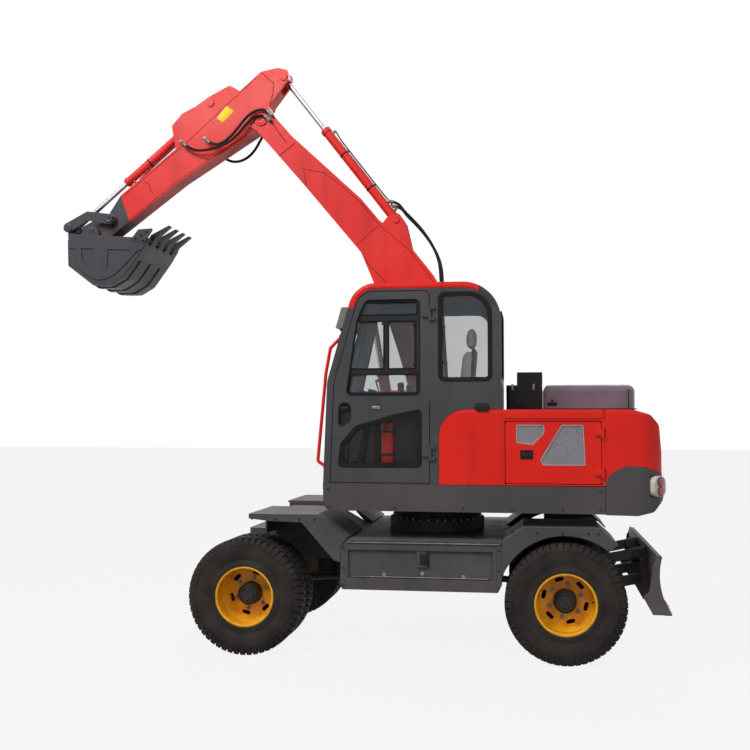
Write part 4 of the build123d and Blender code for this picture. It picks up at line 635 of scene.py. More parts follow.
def repeat_tree():
    """Repeats a piece on points, turned and scaled by the points' turn and size."""
    tree, source, sink = new_tree("repeat_on_points", [("Piece", "NodeSocketObject"), ("Finish", "NodeSocketMaterial")])
    link, make = tree.links.new, tree.nodes.new
    info, spots = make("GeometryNodeObjectInfo"), make("GeometryNodeInstanceOnPoints")
    spin, real = make("FunctionNodeEulerToRotation"), make("GeometryNodeRealizeInstances")
    link(source.outputs["Piece"], info.inputs["Object"])
    link(source.outputs["Geometry"], spots.inputs["Points"])
    link(info.outputs["Geometry"], spots.inputs["Instance"])
    link(named(tree, "turn", "FLOAT_VECTOR"), spin.inputs[0])
    link(spin.outputs[0], spots.inputs["Rotation"])
    link(named(tree, "size", "FLOAT"), spots.inputs["Scale"])
    link(spots.outputs["Instances"], real.inputs[0])
    return hand_out(tree, source, sink, real.outputs[0])


def ring_tree():
    """Repeats a piece round the Y axis."""
    tree, source, sink = new_tree("repeat_round_axle", [("Count", "NodeSocketInt"), ("Finish", "NodeSocketMaterial")])
    link, make = tree.links.new, tree.nodes.new
    line, spots = make("GeometryNodeMeshLine"), make("GeometryNodeInstanceOnPoints")
    index, share, step = make("GeometryNodeInputIndex"), make("ShaderNodeMath"), make("ShaderNodeMath")
    spin, turn = make("ShaderNodeCombineXYZ"), make("FunctionNodeEulerToRotation")
    real = make("GeometryNodeRealizeInstances")
    line.inputs["Offset"].default_value = (0, 0, 0)
    share.operation, step.operation = "DIVIDE", "MULTIPLY"
    share.inputs[0].default_value = 2 * math.pi
    link(source.outputs["Count"], line.inputs["Count"])
    link(source.outputs["Count"], share.inputs[1])
    link(share.outputs[0], step.inputs[0])
    link(index.outputs[0], step.inputs[1])
    link(step.outputs[0], spin.inputs["Y"])
    link(spin.outputs[0], turn.inputs[0])
    link(line.outputs[0], spots.inputs["Points"])
    link(source.outputs["Geometry"], spots.inputs["Instance"])
    link(turn.outputs[0], spots.inputs["Rotation"])
    link(spots.outputs["Instances"], real.inputs[0])
    return hand_out(tree, source, sink, real.outputs[0])


def wire_tree():
    """Turns the edges of a mesh into wire."""
    tree, source, sink = new_tree("edges_to_wire", [("Radius", "NodeSocketFloat"), ("Finish", "NodeSocketMaterial")])
    link, make = tree.links.new, tree.nodes.new
    line, ring = make("GeometryNodeMeshToCurve"), make("GeometryNodeCurvePrimitiveCircle")
    wire = make("GeometryNodeCurveToMesh")
    ring.inputs["Resolution"].default_value = 4
    link(source.outputs["Geometry"], line.inputs["Mesh"])
    link(source.outputs["Radius"], ring.inputs["Radius"])
    link(line.outputs[0], wire.inputs["Curve"])
    link(ring.outputs[0], wire.inputs["Profile Curve"])
    return hand_out(tree, source, sink, wire.outputs[0])


REPEAT, RING, WIRE = repeat_tree(), ring_tree(), wire_tree()


def through_tree(tree, mesh, **inputs):
    """The mesh that a geometry tree makes of a mesh."""
    holder = bpy.data.objects.new("holder", mesh)
    collection.objects.link(holder)
    modifier = holder.modifiers.new("tree", "NODES")
    modifier.node_group = tree
    for name, value in inputs.items():
        tree_input(tree, modifier, name, value)
    return applied(holder)


def repeated(name, piece_mesh, places, body, material, smooth=32):
    """A piece repeated at (point, Euler turn, size) places, as one mesh on one body."""
    points = bpy.data.meshes.new("points")
    points.from_pydata([tuple(place[0]) for place in places], [], [])
    turns = points.attributes.new("turn", "FLOAT_VECTOR", "POINT")
    turns.data.foreach_set("vector", [value for place in places for value in place[1]])
    sizes = points.attributes.new("size", "FLOAT", "POINT")
    sizes.data.foreach_set("value", [place[2] for place in places])
    piece = bpy.data.objects.new("piece", piece_mesh)
    collection.objects.link(piece)
    mesh = through_tree(REPEAT, points, Piece=piece, Finish=material)
    bpy.data.objects.remove(piece)
    return settle(name, mesh, body, [material], smooth)


def facing(direction):
    """The Euler turn that points a piece's +Z along a direction."""
    return tuple(Vector(direction).to_track_quat("Z", "Y").to_euler())


def hex_bolt():
    """A hex head on a washer, one unit across the flats, standing on Z = 0."""
    work = bmesh.new()
    add_turned(work, [(0, 0.66), (0.1, 0.66)], (0, 0, 0), (0, 0, 1), 18)
    add_turned(work, [(0.1, 0.56), (0.5, 0.56), (0.58, 0.48)], (0, 0, 0), (0, 0, 1), 6)
    add_turned(work, [(0.55, 0.25), (0.86, 0.25), (0.92, 0.19)], (0, 0, 0), (0, 0, 1), 10)
    outward(work)
    return to_mesh("hex_bolt", work)


def dome_rivet():
    """A domed rivet, one unit across, standing on Z = 0."""
    work = bmesh.new()
    add_turned(work, [(0, 0.5), (0.12, 0.47), (0.24, 0.34), (0.3, 0.14), (0.31, 0.0)], (0, 0, 0), (0, 0, 1), 12)
    outward(work)
    return to_mesh("dome_rivet", work)


def in_side_view(x, z, y):
    """A side-view point in millimetres at depth y."""
    return mm(x, y, z)


# Tyres: a carcass with bead and sidewall rings, shoulder lugs and a zigzag of centre blocks
TREAD_COUNT = 54
CARCASS = [(-95.7, 257), (-95.7, 279), (-104.7, 279), (-104.7, 252), (-107, 249.5), (-109.5, 255), (-109, 276),
           (-105.5, 286), (-106, 298), (-103, 302), (-111, 328), (-116, 352), (-117.6, 372),
           (-116.4, 392), (-117.4, 398), (-115, 404), (-112, 428), (-100, 456), (-80, 469), (0, 472)]


def add_tread_block(work, outline, crown, floor):
    """Adds one block: an outline of (angle, y) corners between the crown and the carcass, tapered a little."""
    top, base = [], []
    middle = [sum(p[k] for p in outline) / len(outline) for k in (0, 1)]
    for angle, y in outline:
        for line, share, radius in ((top, 0.94, crown(y)), (base, 1.06, floor(y))):
            a = math.radians(middle[0] + (angle - middle[0]) * share)
            d = middle[1] + (y - middle[1]) * (share if line is base else 1.0)
            line.append(work.verts.new(mm(radius * math.sin(a), d, radius * math.cos(a))))
    work.faces.new(top)
    work.faces.new(list(reversed(base)))
    for k in range(len(outline)):
        m = (k + 1) % len(outline)
        work.faces.new([top[k], base[k], base[m], top[m]])


def crown_radius(y):
    """Radius of the tread's outside at a distance from the tyre's middle."""
    rows = [(0, 484.5), (84, 484), (102, 471), (111, 448), (116.8, 424)]
    y = min(abs(y), 116.8)
    for (y0, r0), (y1, r1) in zip(rows, rows[1:]):
        if y <= y1:
            return r0 + (r1 - r0) * (y - y0) / (y1 - y0)
    return rows[-1][1]


def tread_unit():
    """One pitch of the tread: a lug at each shoulder and two centre blocks."""
    work = bmesh.new()
    for side, shift in ((-1, 0.0), (1, 3.33)):
        steps = [44, 66, 84, 102, 111, 116.8]
        for y0, y1 in zip(steps, steps[1:]):
            lean0, lean1 = (84 - min(y0, 84)) * 0.045, (84 - min(y1, 84)) * 0.045
            outline = [(shift - 2.35 + lean0, side * y0), (shift + 2.35 + lean0, side * y0),
                       (shift + 2.35 + lean1, side * y1), (shift - 2.35 + lean1, side * y1)]
            ring = []
            for a, y in outline:
                a = math.radians(a)
                r = crown_radius(y)
                ring.append(work.verts.new(mm(r * math.sin(a), y, r * math.cos(a))))
            work.faces.new(ring)
            for k in (1, 3):
                m = (k + 1) % 4
                low = []
                for index in (k, m):
                    a, y = outline[index]
                    a = math.radians(a + (0.25 if index in (1, 2) else -0.25))
                    r = crown_radius(y) - (15 if y0 < 90 else 13)
                    low.append(work.verts.new(mm(r * math.sin(a), y, r * math.cos(a))))
                work.faces.new([ring[k], low[0], low[1], ring[m]])
            if y0 == 44:
                low = [work.verts.new(mm(468 * math.sin(math.radians(a)), side * (y0 - 2),
                                         468 * math.cos(math.radians(a))))
                       for a in (outline[0][0] - 0.25, outline[1][0] + 0.25)]
                work.faces.new([ring[0], low[0], low[1], ring[1]])
        outline = [(shift - 1.0, side * 5), (shift + 3.9, side * 5), (shift + 5.2, side * 22), (shift + 3.9, side * 38),
                   (shift - 1.0, side * 38), (shift + 0.3, side * 22)]
        add_tread_block(work, outline, crown_radius, lambda y: 469.0)
    outward(work)
    return to_mesh("tread_unit", work)


def sidewall_ribs():
    """One pitch of the fine radial ribs below the shoulder lugs."""
    work = bmesh.new()
    for side in (-1, 1):
        for angle in (0.0, 3.3):
            rows = [(math.radians(angle + d), y, r) for d, y, r in
                    ((-0.5, 116.2, 408), (0.5, 116.2, 408), (0.7, 114.6, 424), (-0.7, 114.6, 424))]
            top = [work.verts.new(mm(r * math.sin(a), side * (y + 1.2), r * math.cos(a))) for a, y, r in rows]
            low = [work.verts.new(mm(r * math.sin(a), side * (y - 4), r * math.cos(a))) for a, y, r in rows]
            work.faces.new(top)
            for k in range(4):
                work.faces.new([top[k], low[k], low[(k + 1) % 4], top[(k + 1) % 4]])
    outward(work)
    return to_mesh("sidewall_ribs", work)


def build_tyre():
    """One tyre at the origin, turning about Y."""
    work = bmesh.new()
    rows = CARCASS + [(-y, r) for y, r in reversed(CARCASS[:-1])]
    rows = rows + [rows[0]]
    add_turned(work, [(y / 1000, r / 1000) for y, r in rows], (0, 0, 0), (0, 1, 0), 108)
    outward(work)
    carcass = to_mesh("carcass", work)
    tread = through_tree(RING, tread_unit(), Count=TREAD_COUNT, Finish=tyre_rubber)
    ribs = through_tree(RING, sidewall_ribs(), Count=TREAD_COUNT, Finish=tyre_rubber)
    return join_meshes([(m, Matrix.Identity(4), 0) for m in (carcass, tread, ribs)])


tyre_source = to_mesh("tyre", build_tyre())
bolt_source, rivet_source = hex_bolt(), dome_rivet()
WHEELS = [("front_left", FRONT_AXLE_X, -1), ("front_right", FRONT_AXLE_X, 1), ("rear_left", REAR_AXLE_X, -1),
          ("rear_right", REAR_AXLE_X, 1)]
for corner, x, side in WHEELS:
    pair = [(tyre_source, Matrix.Translation(mm(x, side * y, AXLE_Z)) @ Matrix.Rotation(0.03 * k, 4, "Y"), 0)
            for k, y in enumerate((INNER_TYRE_Y, OUTER_TYRE_Y))]
    tyre = settle(f"tyre_pair_{corner}", to_mesh("tyre_pair", join_meshes(pair)), f"wheel_{corner}",
                  [tyre_rubber], 38)
    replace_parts(tyre, f"tyres_{corner}")
    places = []
    for k in range(6):
        angle = math.radians(10 + 60 * k)
        places.append((mm(x + 134 * math.sin(angle), side * 909.5, AXLE_Z + 134 * math.cos(angle)),
                       facing((0, side, 0)), 0.028))
    repeated(f"wheel_nuts_{corner}", bolt_source, places, f"wheel_{corner}", zinc_steel)
    work = bmesh.new()
    for k in range(6):
        angle = math.radians(15 + 60 * k)
        add_turned(work, [(0, 0.011), (0.008, 0.011), (0.011, 0.008)],
                   mm(x + 62 * math.sin(angle), side * 1019, AXLE_Z + 62 * math.cos(angle)), (0, side, 0), 6)
    add_turned(work, [(0, 0.052), (0.006, 0.052), (0.014, 0.044), (0.015, 0.0)], mm(x, side * 1019, AXLE_Z),
               (0, side, 0), 32)
    add_turned(work, [(0, 0.006), (0.03, 0.005), (0.034, 0.008), (0.05, 0.007)],
               mm(x + 225, side * 960, AXLE_Z), (-0.3, side, 0), 10)
    outward(work)
    settle(f"hub_cap_{corner}", to_mesh("hub_cap", work), f"wheel_{corner}", [black_paint])
    work = bmesh.new()
    add_turned(work, [(y / 1000, r / 1000) for y, r in ((78, 246.7), (80, 241), (88, 234), (97, 230), (103, 231),
                                                        (106, 236), (106.5, 242), (105, 246.7), (78, 246.7))],
               mm(x, side * OUTER_TYRE_Y, AXLE_Z), (0, side, 0), 96)
    outward(work)
    settle(f"rim_lip_{corner}", to_mesh("rim_lip", work), f"wheel_{corner}", [rim_paint], 50)
    work = bmesh.new()
    add_turned(work, [(y / 1000, r / 1000) for y, r in ((704, 172.3), (700, 176), (700, 236), (704, 240), (716, 240),
                                                        (718, 230), (714, 222), (714, 200), (726, 182), (760, 179),
                                                        (764, 172.3), (704, 172.3))],
               mm(x, 0, AXLE_Z), (0, side, 0), 72)
    outward(work)
    settle(f"drum_flange_{corner}", to_mesh("drum_flange", work), f"wheel_{corner}", [axle_iron])


# Engine door grilles: pale expanded mesh in a thin frame
def clipped_lattice(rows, pitch, depth):
    """Crossing diagonal lines clipped to a convex side-view outline."""
    work = bmesh.new()
    xs, zs = [row[0] for row in rows], [row[1] for row in rows]
    span = max(max(xs) - min(xs), max(zs) - min(zs)) * 1.5
    middle = ((max(xs) + min(xs)) / 2, (max(zs) + min(zs)) / 2)
    for lean in (-0.55, 0.55):
        for k in range(int(-span / pitch), int(span / pitch) + 1):
            x = middle[0] + k * pitch
            ends = [work.verts.new(mm(x + lean * s, depth, middle[1] + s)) for s in (-span / 2, span / 2)]
            work.edges.new(ends)
    centre = mm(middle[0], depth, middle[1])
    for k in range(len(rows)):
        a, b = mm(rows[k - 1][0], depth, rows[k - 1][1]), mm(rows[k][0], depth, rows[k][1])
        normal = (b - a).cross(Vector((0, 1, 0))).normalized()
        if (centre - a).dot(normal) > 0:
            normal = -normal
        bmesh.ops.bisect_plane(work, geom=work.verts[:] + work.edges[:], plane_co=a, plane_no=normal, clear_outer=True)
    return to_mesh("lattice", work)


SMALL_GRILLE = [(737, 1764, 4), (738, 1911, 10), (963, 1911, 16), (963, 1845, 10), (870, 1746, 20)]
LARGE_GRILLE = [(929, 1631, 20), (1100, 1911, 20), (1273, 1911, 12), (1289, 1583, 12), (948, 1583, 14)]
lattices = []
for rows in (SMALL_GRILLE, LARGE_GRILLE):
    lattice = through_tree(WIRE, clipped_lattice(rows, 15, -1044), Radius=0.0022, Finish=pale_grille)
    lattices.append((lattice, Matrix.Identity(4), 0))
work = join_meshes(lattices)
for rows in (SMALL_GRILLE, LARGE_GRILLE):
    add_band(work, arc_rows(rows, 0.6), arc_rows(rows, 9), in_side_view, CAB_FACE - 0.8, CAB_FACE + 8)
    add_slab(work, arc_rows(rows, 1.0), in_side_view, -1040.5, -1037.5, 1)
outward(work)
settle("engine_door_grilles", to_mesh("grilles", work), "engine_cover", [pale_grille, grey_plastic])

# Engine door latch, a black recessed paddle with a lock
work = bmesh.new()
add_band(work, arc_rows([(768, 1630, 8), (768, 1705, 8), (872, 1705, 8), (872, 1630, 8)], 1),
         arc_rows([(768, 1630, 8), (768, 1705, 8), (872, 1705, 8), (872, 1630, 8)], 9), in_side_view, -1052, -1042)
add_block(work, mm(780, -1045, 1640), mm(860, -1041, 1696), 0.002)
add_block(work, mm(786, CAB_FACE, 1650), mm(836, CAB_FACE + 6, 1686), 0.004)
add_turned(work, [(0, 0.011), (0.004, 0.011), (0.006, 0.008), (0.0062, 0.0)], mm(850, -1045, 1668), (0, -1, 0), 20)
outward(work)
settle("engine_door_latch", to_mesh("latch", work), "engine_cover", [black_plastic])

# Short ways to finish a piece
def finished(name, work, body, slot, *materials, smooth=32):
    """A piece made of a bmesh, with its faces turned outwards."""
    outward(work)
    return settle(name, to_mesh(name, work), body, list(materials), smooth)


def add_disc(work, x, y, z, axis, rows, steps=28, material=0):
    """Adds a turned boss at a point, from (distance, radius) rows, all in millimetres."""
    add_turned(work, [(d / 1000, r / 1000) for d, r in rows], mm(x, y, z), axis, steps, material)


def add_trim(work, rows, section, place, material=0):
    """Adds a ring round an outline; its section is a closed row of (inset, depth)."""
    loops = [[work.verts.new(place(p.x, p.y, depth)) for p in arc_rows(rows, inset)] for inset, depth in section]
    for one, two in zip(loops, loops[1:] + loops[:1]):
        for k in range(len(one)):
            m = (k + 1) % len(one)
            work.faces.new([one[k], one[m], two[m], two[k]]).material_index = material


def tubes(name, runs, body, material, order=3, resolution=8, ring=2):
    """Round lines as one piece, each run as (points, radius) in millimetres."""
    parts = [(pipe_mesh([mm(*p) for p in points], radius / 1000, min(order, len(points)), resolution, ring),
              Matrix.Identity(4), 0) for points, radius in runs]
    return settle(name, to_mesh(name, join_meshes(parts)), body, [material], 40)


def bolts(name, places, body, material=None, source=None):
    """Bolt heads at (x, y, z, direction, size) places in millimetres."""
    rows = [(mm(x, y, z), facing(direction), size / 1000) for x, y, z, direction, size in places]
    return repeated(name, source or bolt_source, rows, body, material or zinc_steel)


def front_x(z):
    """The front of the cab at a height, in millimetres."""
    return -858 + (z - 1420) * 0.03765 if z < 2270 else -826 + (z - 2270) * 0.28606


def in_windshield(y, z, depth):
    """A point on the cab's front at depth in front of it."""
    return mm(front_x(z) - depth, y, z)


def in_rear_window(y, z, depth):
    return mm(620 + depth, y, z)


# Window seals: rubber rings with a rounded section
PANES = [[(-566, 2822, 15), (-505, 2930, 30), (-70, 2930, 30), (-70, 2822, 15)],
         [(-636, 2372, 15), (-576, 2773, 15), (-346, 2773, 15), (-346, 2372, 15)],
         [(-313, 2372, 15), (-313, 2773, 15), (-87, 2773, 15), (-87, 2372, 15)],
         [(-648, 2170, 15), (-628, 2330, 15), (-70, 2330, 15), (-70, 2170, 15)]]
UPPER_RECESS = [(-668, 2150, 45), (-577, 2775, 200), (-500, 2950, 60), (-45, 2950, 45), (-45, 2150, 45)]
LOWER_WINDOW = [(-725, 1567, 30), (-704, 1750, 60), (-582, 1891, 90), (-305, 1974, 60), (-44, 2032, 25),
                (-44, 1567, 30)]
HANDLE_RECESS = [(-735, 1870, 55), (-725, 2095, 50), (-625, 2095, 50), (-625, 1940, 50)]
REAR_SIDE_WINDOW = [(115, 2275, 45), (115, 2995, 45), (536, 2995, 190), (536, 2275, 45)]
RIGHT_WINDOW = [(-700, 2060, 45), (-520, 2900, 60), (500, 2900, 120), (500, 2060, 45)]
REAR_WINDOW = [(-985, 2300, 60), (-985, 2850, 60), (-270, 2850, 60), (-270, 2300, 60)]


def seal_section(side, face, reach=9):
    """A lip over a sheet's edge: it stands a little proud of the face and reaches inwards."""
    out = 6 if reach < 20 else 12
    return [(-out, face), (0.5 - out, face + side * 2), (-2, face + side * 3.4), (5, face + side * 3),
            (reach, face - side * 1), (reach, face - side * 8), (-1, face - side * 8), (-1, face)]


work = bmesh.new()
for pane in PANES:
    add_trim(work, pane, seal_section(-1, -1032), in_side_view)
add_trim(work, LOWER_WINDOW, seal_section(-1, CAB_FACE, 32), in_side_view)
add_trim(work, UPPER_RECESS, [(-2, -1050), (-1, -1052), (2, -1052.5), (5, -1051), (5, -1034), (-0.5, -1034)],
         in_side_view)
finished("door_window_seals", work, "cab_door", "black_plastic", seal_rubber)
work = bmesh.new()
add_trim(work, REAR_SIDE_WINDOW, seal_section(-1, CAB_FACE, 26), in_side_view)
add_trim(work, RIGHT_WINDOW, seal_section(1, -205, 12), in_side_view)
add_trim(work, REAR_WINDOW, seal_section(1, 0, 14), in_rear_window)
finished("cab_window_seals", work, "upper", "black_plastic", seal_rubber)
work = bmesh.new()
for low, high in ((1600, 2268), (2272, 2850)):
    rows = [(-985, low, 50), (-985, high, 50), (-270, high, 50), (-270, low, 50)]
    add_trim(work, rows, [(-4, 0), (-3, 2), (4, 2.6), (14, 1), (14, -14), (-1, -14), (-1, 0)], in_windshield)
finished("windshield_seals", work, "upper", "black_plastic", seal_rubber)

# Door fittings: handle, lock, hinges, striker and window catches, and a hold-back for the open door
work = bmesh.new()
add_trim(work, HANDLE_RECESS, [(-3, -1050), (-2, -1051.6), (3, -1052), (6, -1050), (6, -1030), (0, -1030)],
         in_side_view)
add_slab(work, arc_rows(HANDLE_RECESS, 2), in_side_view, -1024.5, -1021)
add_block(work, mm(-712, -1047, 2034), mm(-640, -1030, 2063), 0.006)
add_block(work, mm(-706, -1043, 2000), mm(-690, -1024, 2050), 0.005)
add_disc(work, -672, -1047, 2048, (0, -1, 0), [(0, 9), (3, 9), (4, 7), (4, 0)], 20)
finished("door_handle", work, "cab_door", "black_plastic", black_plastic)
work = bmesh.new()
for z in (2830, 1680):
    for start in (-42, -13, 16):
        add_disc(work, 38, -1067, z + start, (0, 0, 1), [(0, 9), (1, 12), (25, 12), (26, 9), (26, 0)], 20)
finished("door_hinge_knuckles", work, "cab_door", "dark_paint", cab_paint)
work = bmesh.new()
add_block(work, mm(-446, -1060, 2038), mm(-376, -1049, 2066), 0.004)
add_block(work, mm(-436, -1066, 2044), mm(-400, -1056, 2060), 0.004)
finished("door_striker", work, "cab_door", "worn_steel", zinc_steel)
work = bmesh.new()
for x, z in ((-560, 2790), (-92, 2742), (-352, 2748), (-92, 2410), (-84, 2350)):
    add_block(work, mm(x - 15, -1041, z - 11), mm(x + 15, -1030, z + 11), 0.004)
    add_disc(work, x, -1040, z, (0, -1, 0), [(0, 7), (4, 7), (5, 5), (5, 0)], 16)
finished("window_catches", work, "cab_door", "black_plastic", black_plastic)
work = bmesh.new()
add_slab(work, arc_rows([(402, 2024, 26), (402, 2086, 26), (519, 2086, 26), (519, 2024, 26)], 0), in_side_view,
         -1049, -1066)
add_slab(work, arc_rows([(402, 2024, 26), (402, 2086, 26), (519, 2086, 26), (519, 2024, 26)], 9), in_side_view,
         -1065, -1072)
add_block(work, mm(430, -1078, 2046), mm(492, -1068, 2066), 0.004)
finished("door_holdback", work, "upper", "black_plastic", black_plastic)

# Wiper on the windshield
work = bmesh.new()
add_block(work, in_windshield(-640, 2300, 0), in_windshield(-600, 2352, 24), 0.005)
finished("wiper_motor", work, "upper", "black_plastic", black_plastic)
tubes("wiper", [([(front_x(2330) - 20, -620, 2330), (front_x(2500) - 20, -560, 2500), (front_x(2640) - 15, -520, 2640)],
                 5),
                ([(front_x(2400) - 8, -575, 2400), (front_x(2600) - 12, -520, 2600), (front_x(2830) - 8, -470, 2830)],
                 5)],
      "upper", black_plastic)

# Cab front: grab rail flanges and work lamps with ribbed lenses
work = bmesh.new()
for z in (1562, 2640):
    add_disc(work, front_x(z) - 1, -1004, z, (-1, 0, 0), [(0, 27), (6, 27), (8, 24), (8, 0)], 28)
finished("rail_feet", work, "upper", "red_paint", red_paint)
work, lens = bmesh.new(), bmesh.new()
for y in (-930, -330):
    for low, high, radius in ((2722, 2900, 10),):
        rows = [(y - 42, low + 4, radius), (y - 42, high - 4, radius), (y + 42, high - 4, radius),
                (y + 42, low + 4, radius)]
        add_trim(work, rows, [(0, 69), (1, 74), (7, 75), (12, 71), (12, 68), (0, 60)], in_windshield)
        for centre in (2768, 2854):
            ring = [(y + 34 * math.cos(a), centre + 34 * math.sin(a)) for a in (math.pi * k / 12 for k in range(24))]
            inner = [(y + 29 * math.cos(a), centre + 29 * math.sin(a)) for a in (math.pi * k / 12 for k in range(24))]
            add_band(work, [Vector(p) for p in ring], [Vector(p) for p in inner], in_windshield, 74, 69)
            loops = []
            for share, depth in ((1.0, 70.5), (0.86, 72.5), (0.55, 74), (0.22, 74.6)):
                loops.append([lens.verts.new(in_windshield(y + (p[0] - y) * share, centre + (p[1] - centre) * share,
                                                           depth))
                              for p in inner])
            base = [lens.verts.new(in_windshield(p[0], p[1], 68.5)) for p in inner]
            lens.faces.new(base)
            lens.faces.new(loops[-1])
            for one, two in zip([base] + loops, loops):
                for k in range(24):
                    lens.faces.new([one[k], one[(k + 1) % 24], two[(k + 1) % 24], two[k]])
    add_block(work, in_windshield(y - 30, 2700, 4), in_windshield(y + 30, 2724, 40), 0.004)
finished("work_lamp_bezels", work, "upper", "black_plastic", black_plastic)
finished("work_lamp_lenses", lens, "upper", "lamp_lens", clear_lens)

# Tail lamps: two round red lamps in each pale rounded housing
work, lens, housing = bmesh.new(), bmesh.new(), bmesh.new()
for side in (-1, 1):
    out = Vector((1, side, 0)).normalized()
    along = Vector((-side, 1, 0)).normalized()
    middle = mm(1853, side * 986, 1420)
    loops = [[housing.verts.new(middle + Vector((0, 0, p.x / 1000)) + along * p.y / 1000 + out * depth / 1000)
              for p in arc_rows([(-84, -74, 56), (84, -74, 56), (84, 74, 56), (-84, 74, 56)], inset)]
             for inset, depth in ((0, -30), (0, 16), (4, 25), (12, 30))]
    for one, two in zip(loops, loops[1:]):
        for k in range(len(one)):
            housing.faces.new([one[k], one[(k + 1) % len(one)], two[(k + 1) % len(one)], two[k]])
    housing.faces.new(loops[0])
    housing.faces.new(loops[-1])
    for height in (-38, 38):
        centre = middle + Vector((0, 0, height / 1000)) + out * 0.03
        add_turned(work, [(-0.002, 0.038), (0.003, 0.038), (0.005, 0.035), (0.005, 0.033), (-0.002, 0.033),
                          (-0.002, 0.038)],
                   centre, out, 32)
        add_turned(lens, [(-0.001, 0.0325), (0.005, 0.032), (0.009, 0.026), (0.011, 0.016), (0.0115, 0.0)], centre, out,
                   32)
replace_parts(finished("tail_lamp_housings", housing, "upper", "lamp_lens", mirror_grey), "tail_lamps")
finished("tail_lamp_rings", work, "upper", "black_plastic", black_plastic)
finished("tail_lamp_lenses", lens, "upper", "lamp_lens", red_lens)

# Side boxes: anti-slip strips, locks, latch, hinges and rain edge
work = bmesh.new()
teeth = []
for side in (-1, 1):
    for x0, x1, y, z in ((-641, 619, 1095, 944), (-600, 520, 1078, 664)):
        x1 = min(x1, 612)
        add_block(work, mm(x0, min(side * (y - 1), side * (y + 9)), z - 3),
                  mm(x1, max(side * (y - 1), side * (y + 9)), z + 3), 0.001)
        teeth += [(mm(x0 + 8 + 14 * k, side * (y + 5), z + 2.5), (0, 0, 0), 0.011)
                  for k in range(int((x1 - x0 - 10) / 14))]
finished("step_strips", work, "chassis", "worn_steel", blade_paint)
work = bmesh.new()
add_turned(work, [(0, 0.5), (0.25, 0.42), (0.45, 0.2), (0.5, 0.0)], (0, 0, 0), (0, 0, 1), 6)
outward(work)
repeated("step_teeth", to_mesh("tooth", work), teeth, "chassis", worn_steel)
work = bmesh.new()
for side in (-1, 1):
    for x, z in ((-341, 682), (-26, 697), (307, 676)):
        add_disc(work, x, side * 1072, z, (0, side, 0), [(0, 17), (5, 17), (7, 14), (7, 8), (9, 8), (9, 0)], 24)
finished("side_box_locks", work, "chassis", "worn_steel", zinc_steel)
work = bmesh.new()
for side in (-1, 1):
    add_block(work, mm(-56, side * 1084 - 4, 748), mm(28, side * 1084 + 4, 888), 0.004)
    add_block(work, mm(-44, side * 1091 - 5, 770), mm(16, side * 1091 + 3, 866), 0.006)
    add_disc(work, -14, side * 1092, 850, (0, side, 0), [(0, 9), (2.5, 9), (2.5, 0)], 20)
    for x in (-520, 420):
        add_disc(work, x - 40, side * 1080, 888, (1, 0, 0), [(0, 8), (80, 8), (80, 0)], 16)
finished("side_box_latches", work, "chassis", "dark_paint", black_plastic)
places = []
for side in (-1, 1):
    for x in (-1452, -1250, -1050, -920, 700, 900, 1100, 1300, 1380):
        z = 1128 if x < 0 else 1048
        places.append((x, side * 1100, z, (0, side, 0), 15))
    for x in (-680, 596):
        for z in (600, 740, 900):
            places.append((x, side * 1095, z, (0, side, 0), 15))
bolts("fender_bolts", places, "chassis", axle_iron)
tubes("side_box_seams", [([(x, side * 1095.5, 563), (x, side * 1095.5, 962)], 1.6) for side in (-1, 1)
                          for x in (-664, 574)]
      + [([(-664, side * 1095.5, 962), (574, side * 1095.5, 962)], 1.8) for side in (-1, 1)],
      "chassis", chassis_paint, order=2, resolution=1)
bolts("slew_lower_bolts", [(418 * math.cos(a), 418 * math.sin(a), 1060, (0, 0, 1), 22) for a in
                           (math.pi * (k + 0.5) / 18 for k in range(36))], "chassis")
work = bmesh.new()
add_disc(work, 0, 0, 1092, (0, 0, 1), [(0, 399), (0, 404), (9, 404), (9, 399), (0, 399)], 96)
add_disc(work, 0, 0, 1130, (0, 0, 1), [(0, 399), (0, 403), (6, 403), (6, 399), (0, 399)], 96)
finished("slew_ring_seals", work, "chassis", "cast_axle", seal_rubber)

# Hoses: one smooth line each, through the same route points as the CAD solids
NEAR_HOSES = [[(-1538, 4822), (-1600, 4880), (-1700, 4870), (-1780, 4815), (-1850, 4730), (-1925, 4640), (-2025, 4565),
               (-2115, 4559), (-2190, 4620)],
              [(-1560, 4776), (-1625, 4830), (-1720, 4805), (-1790, 4740), (-1860, 4655), (-1960, 4570), (-2110, 4520),
               (-2240, 4505), (-2340, 4530), (-2420, 4600)]]
FAR_HOSE = [(-1560, 4776), (-1640, 4790), (-1715, 4715), (-1780, 4590), (-1861, 4505), (-1975, 4465), (-2090, 4500),
            (-2190, 4590)]
BOOM_HOSE = [(-425, 3975), (-350, 3965), (-290, 3880), (-225, 3815), (-130, 3710), (-40, 3580), (25, 3440), (48, 3300),
             (50, 3100)]
arm_runs = [([(x, -166, z) for x, z in run], 13) for run in NEAR_HOSES] + [([(x, 166, z) for x, z in FAR_HOSE], 13)]
hoses = tubes("stick_hoses", arm_runs, None, hose_rubber, order=3, resolution=12, ring=4)
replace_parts(hoses, "arm_hoses")
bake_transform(hoses)
hoses = tubes("boom_back_hoses",
              [([(x, y, z) for x, z in BOOM_HOSE], 13) for y in (-BACK_HOSE_Y, BACK_HOSE_Y)],
              "boom_body", hose_rubber, order=3, resolution=12, ring=4)
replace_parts(hoses, "boom_hose")


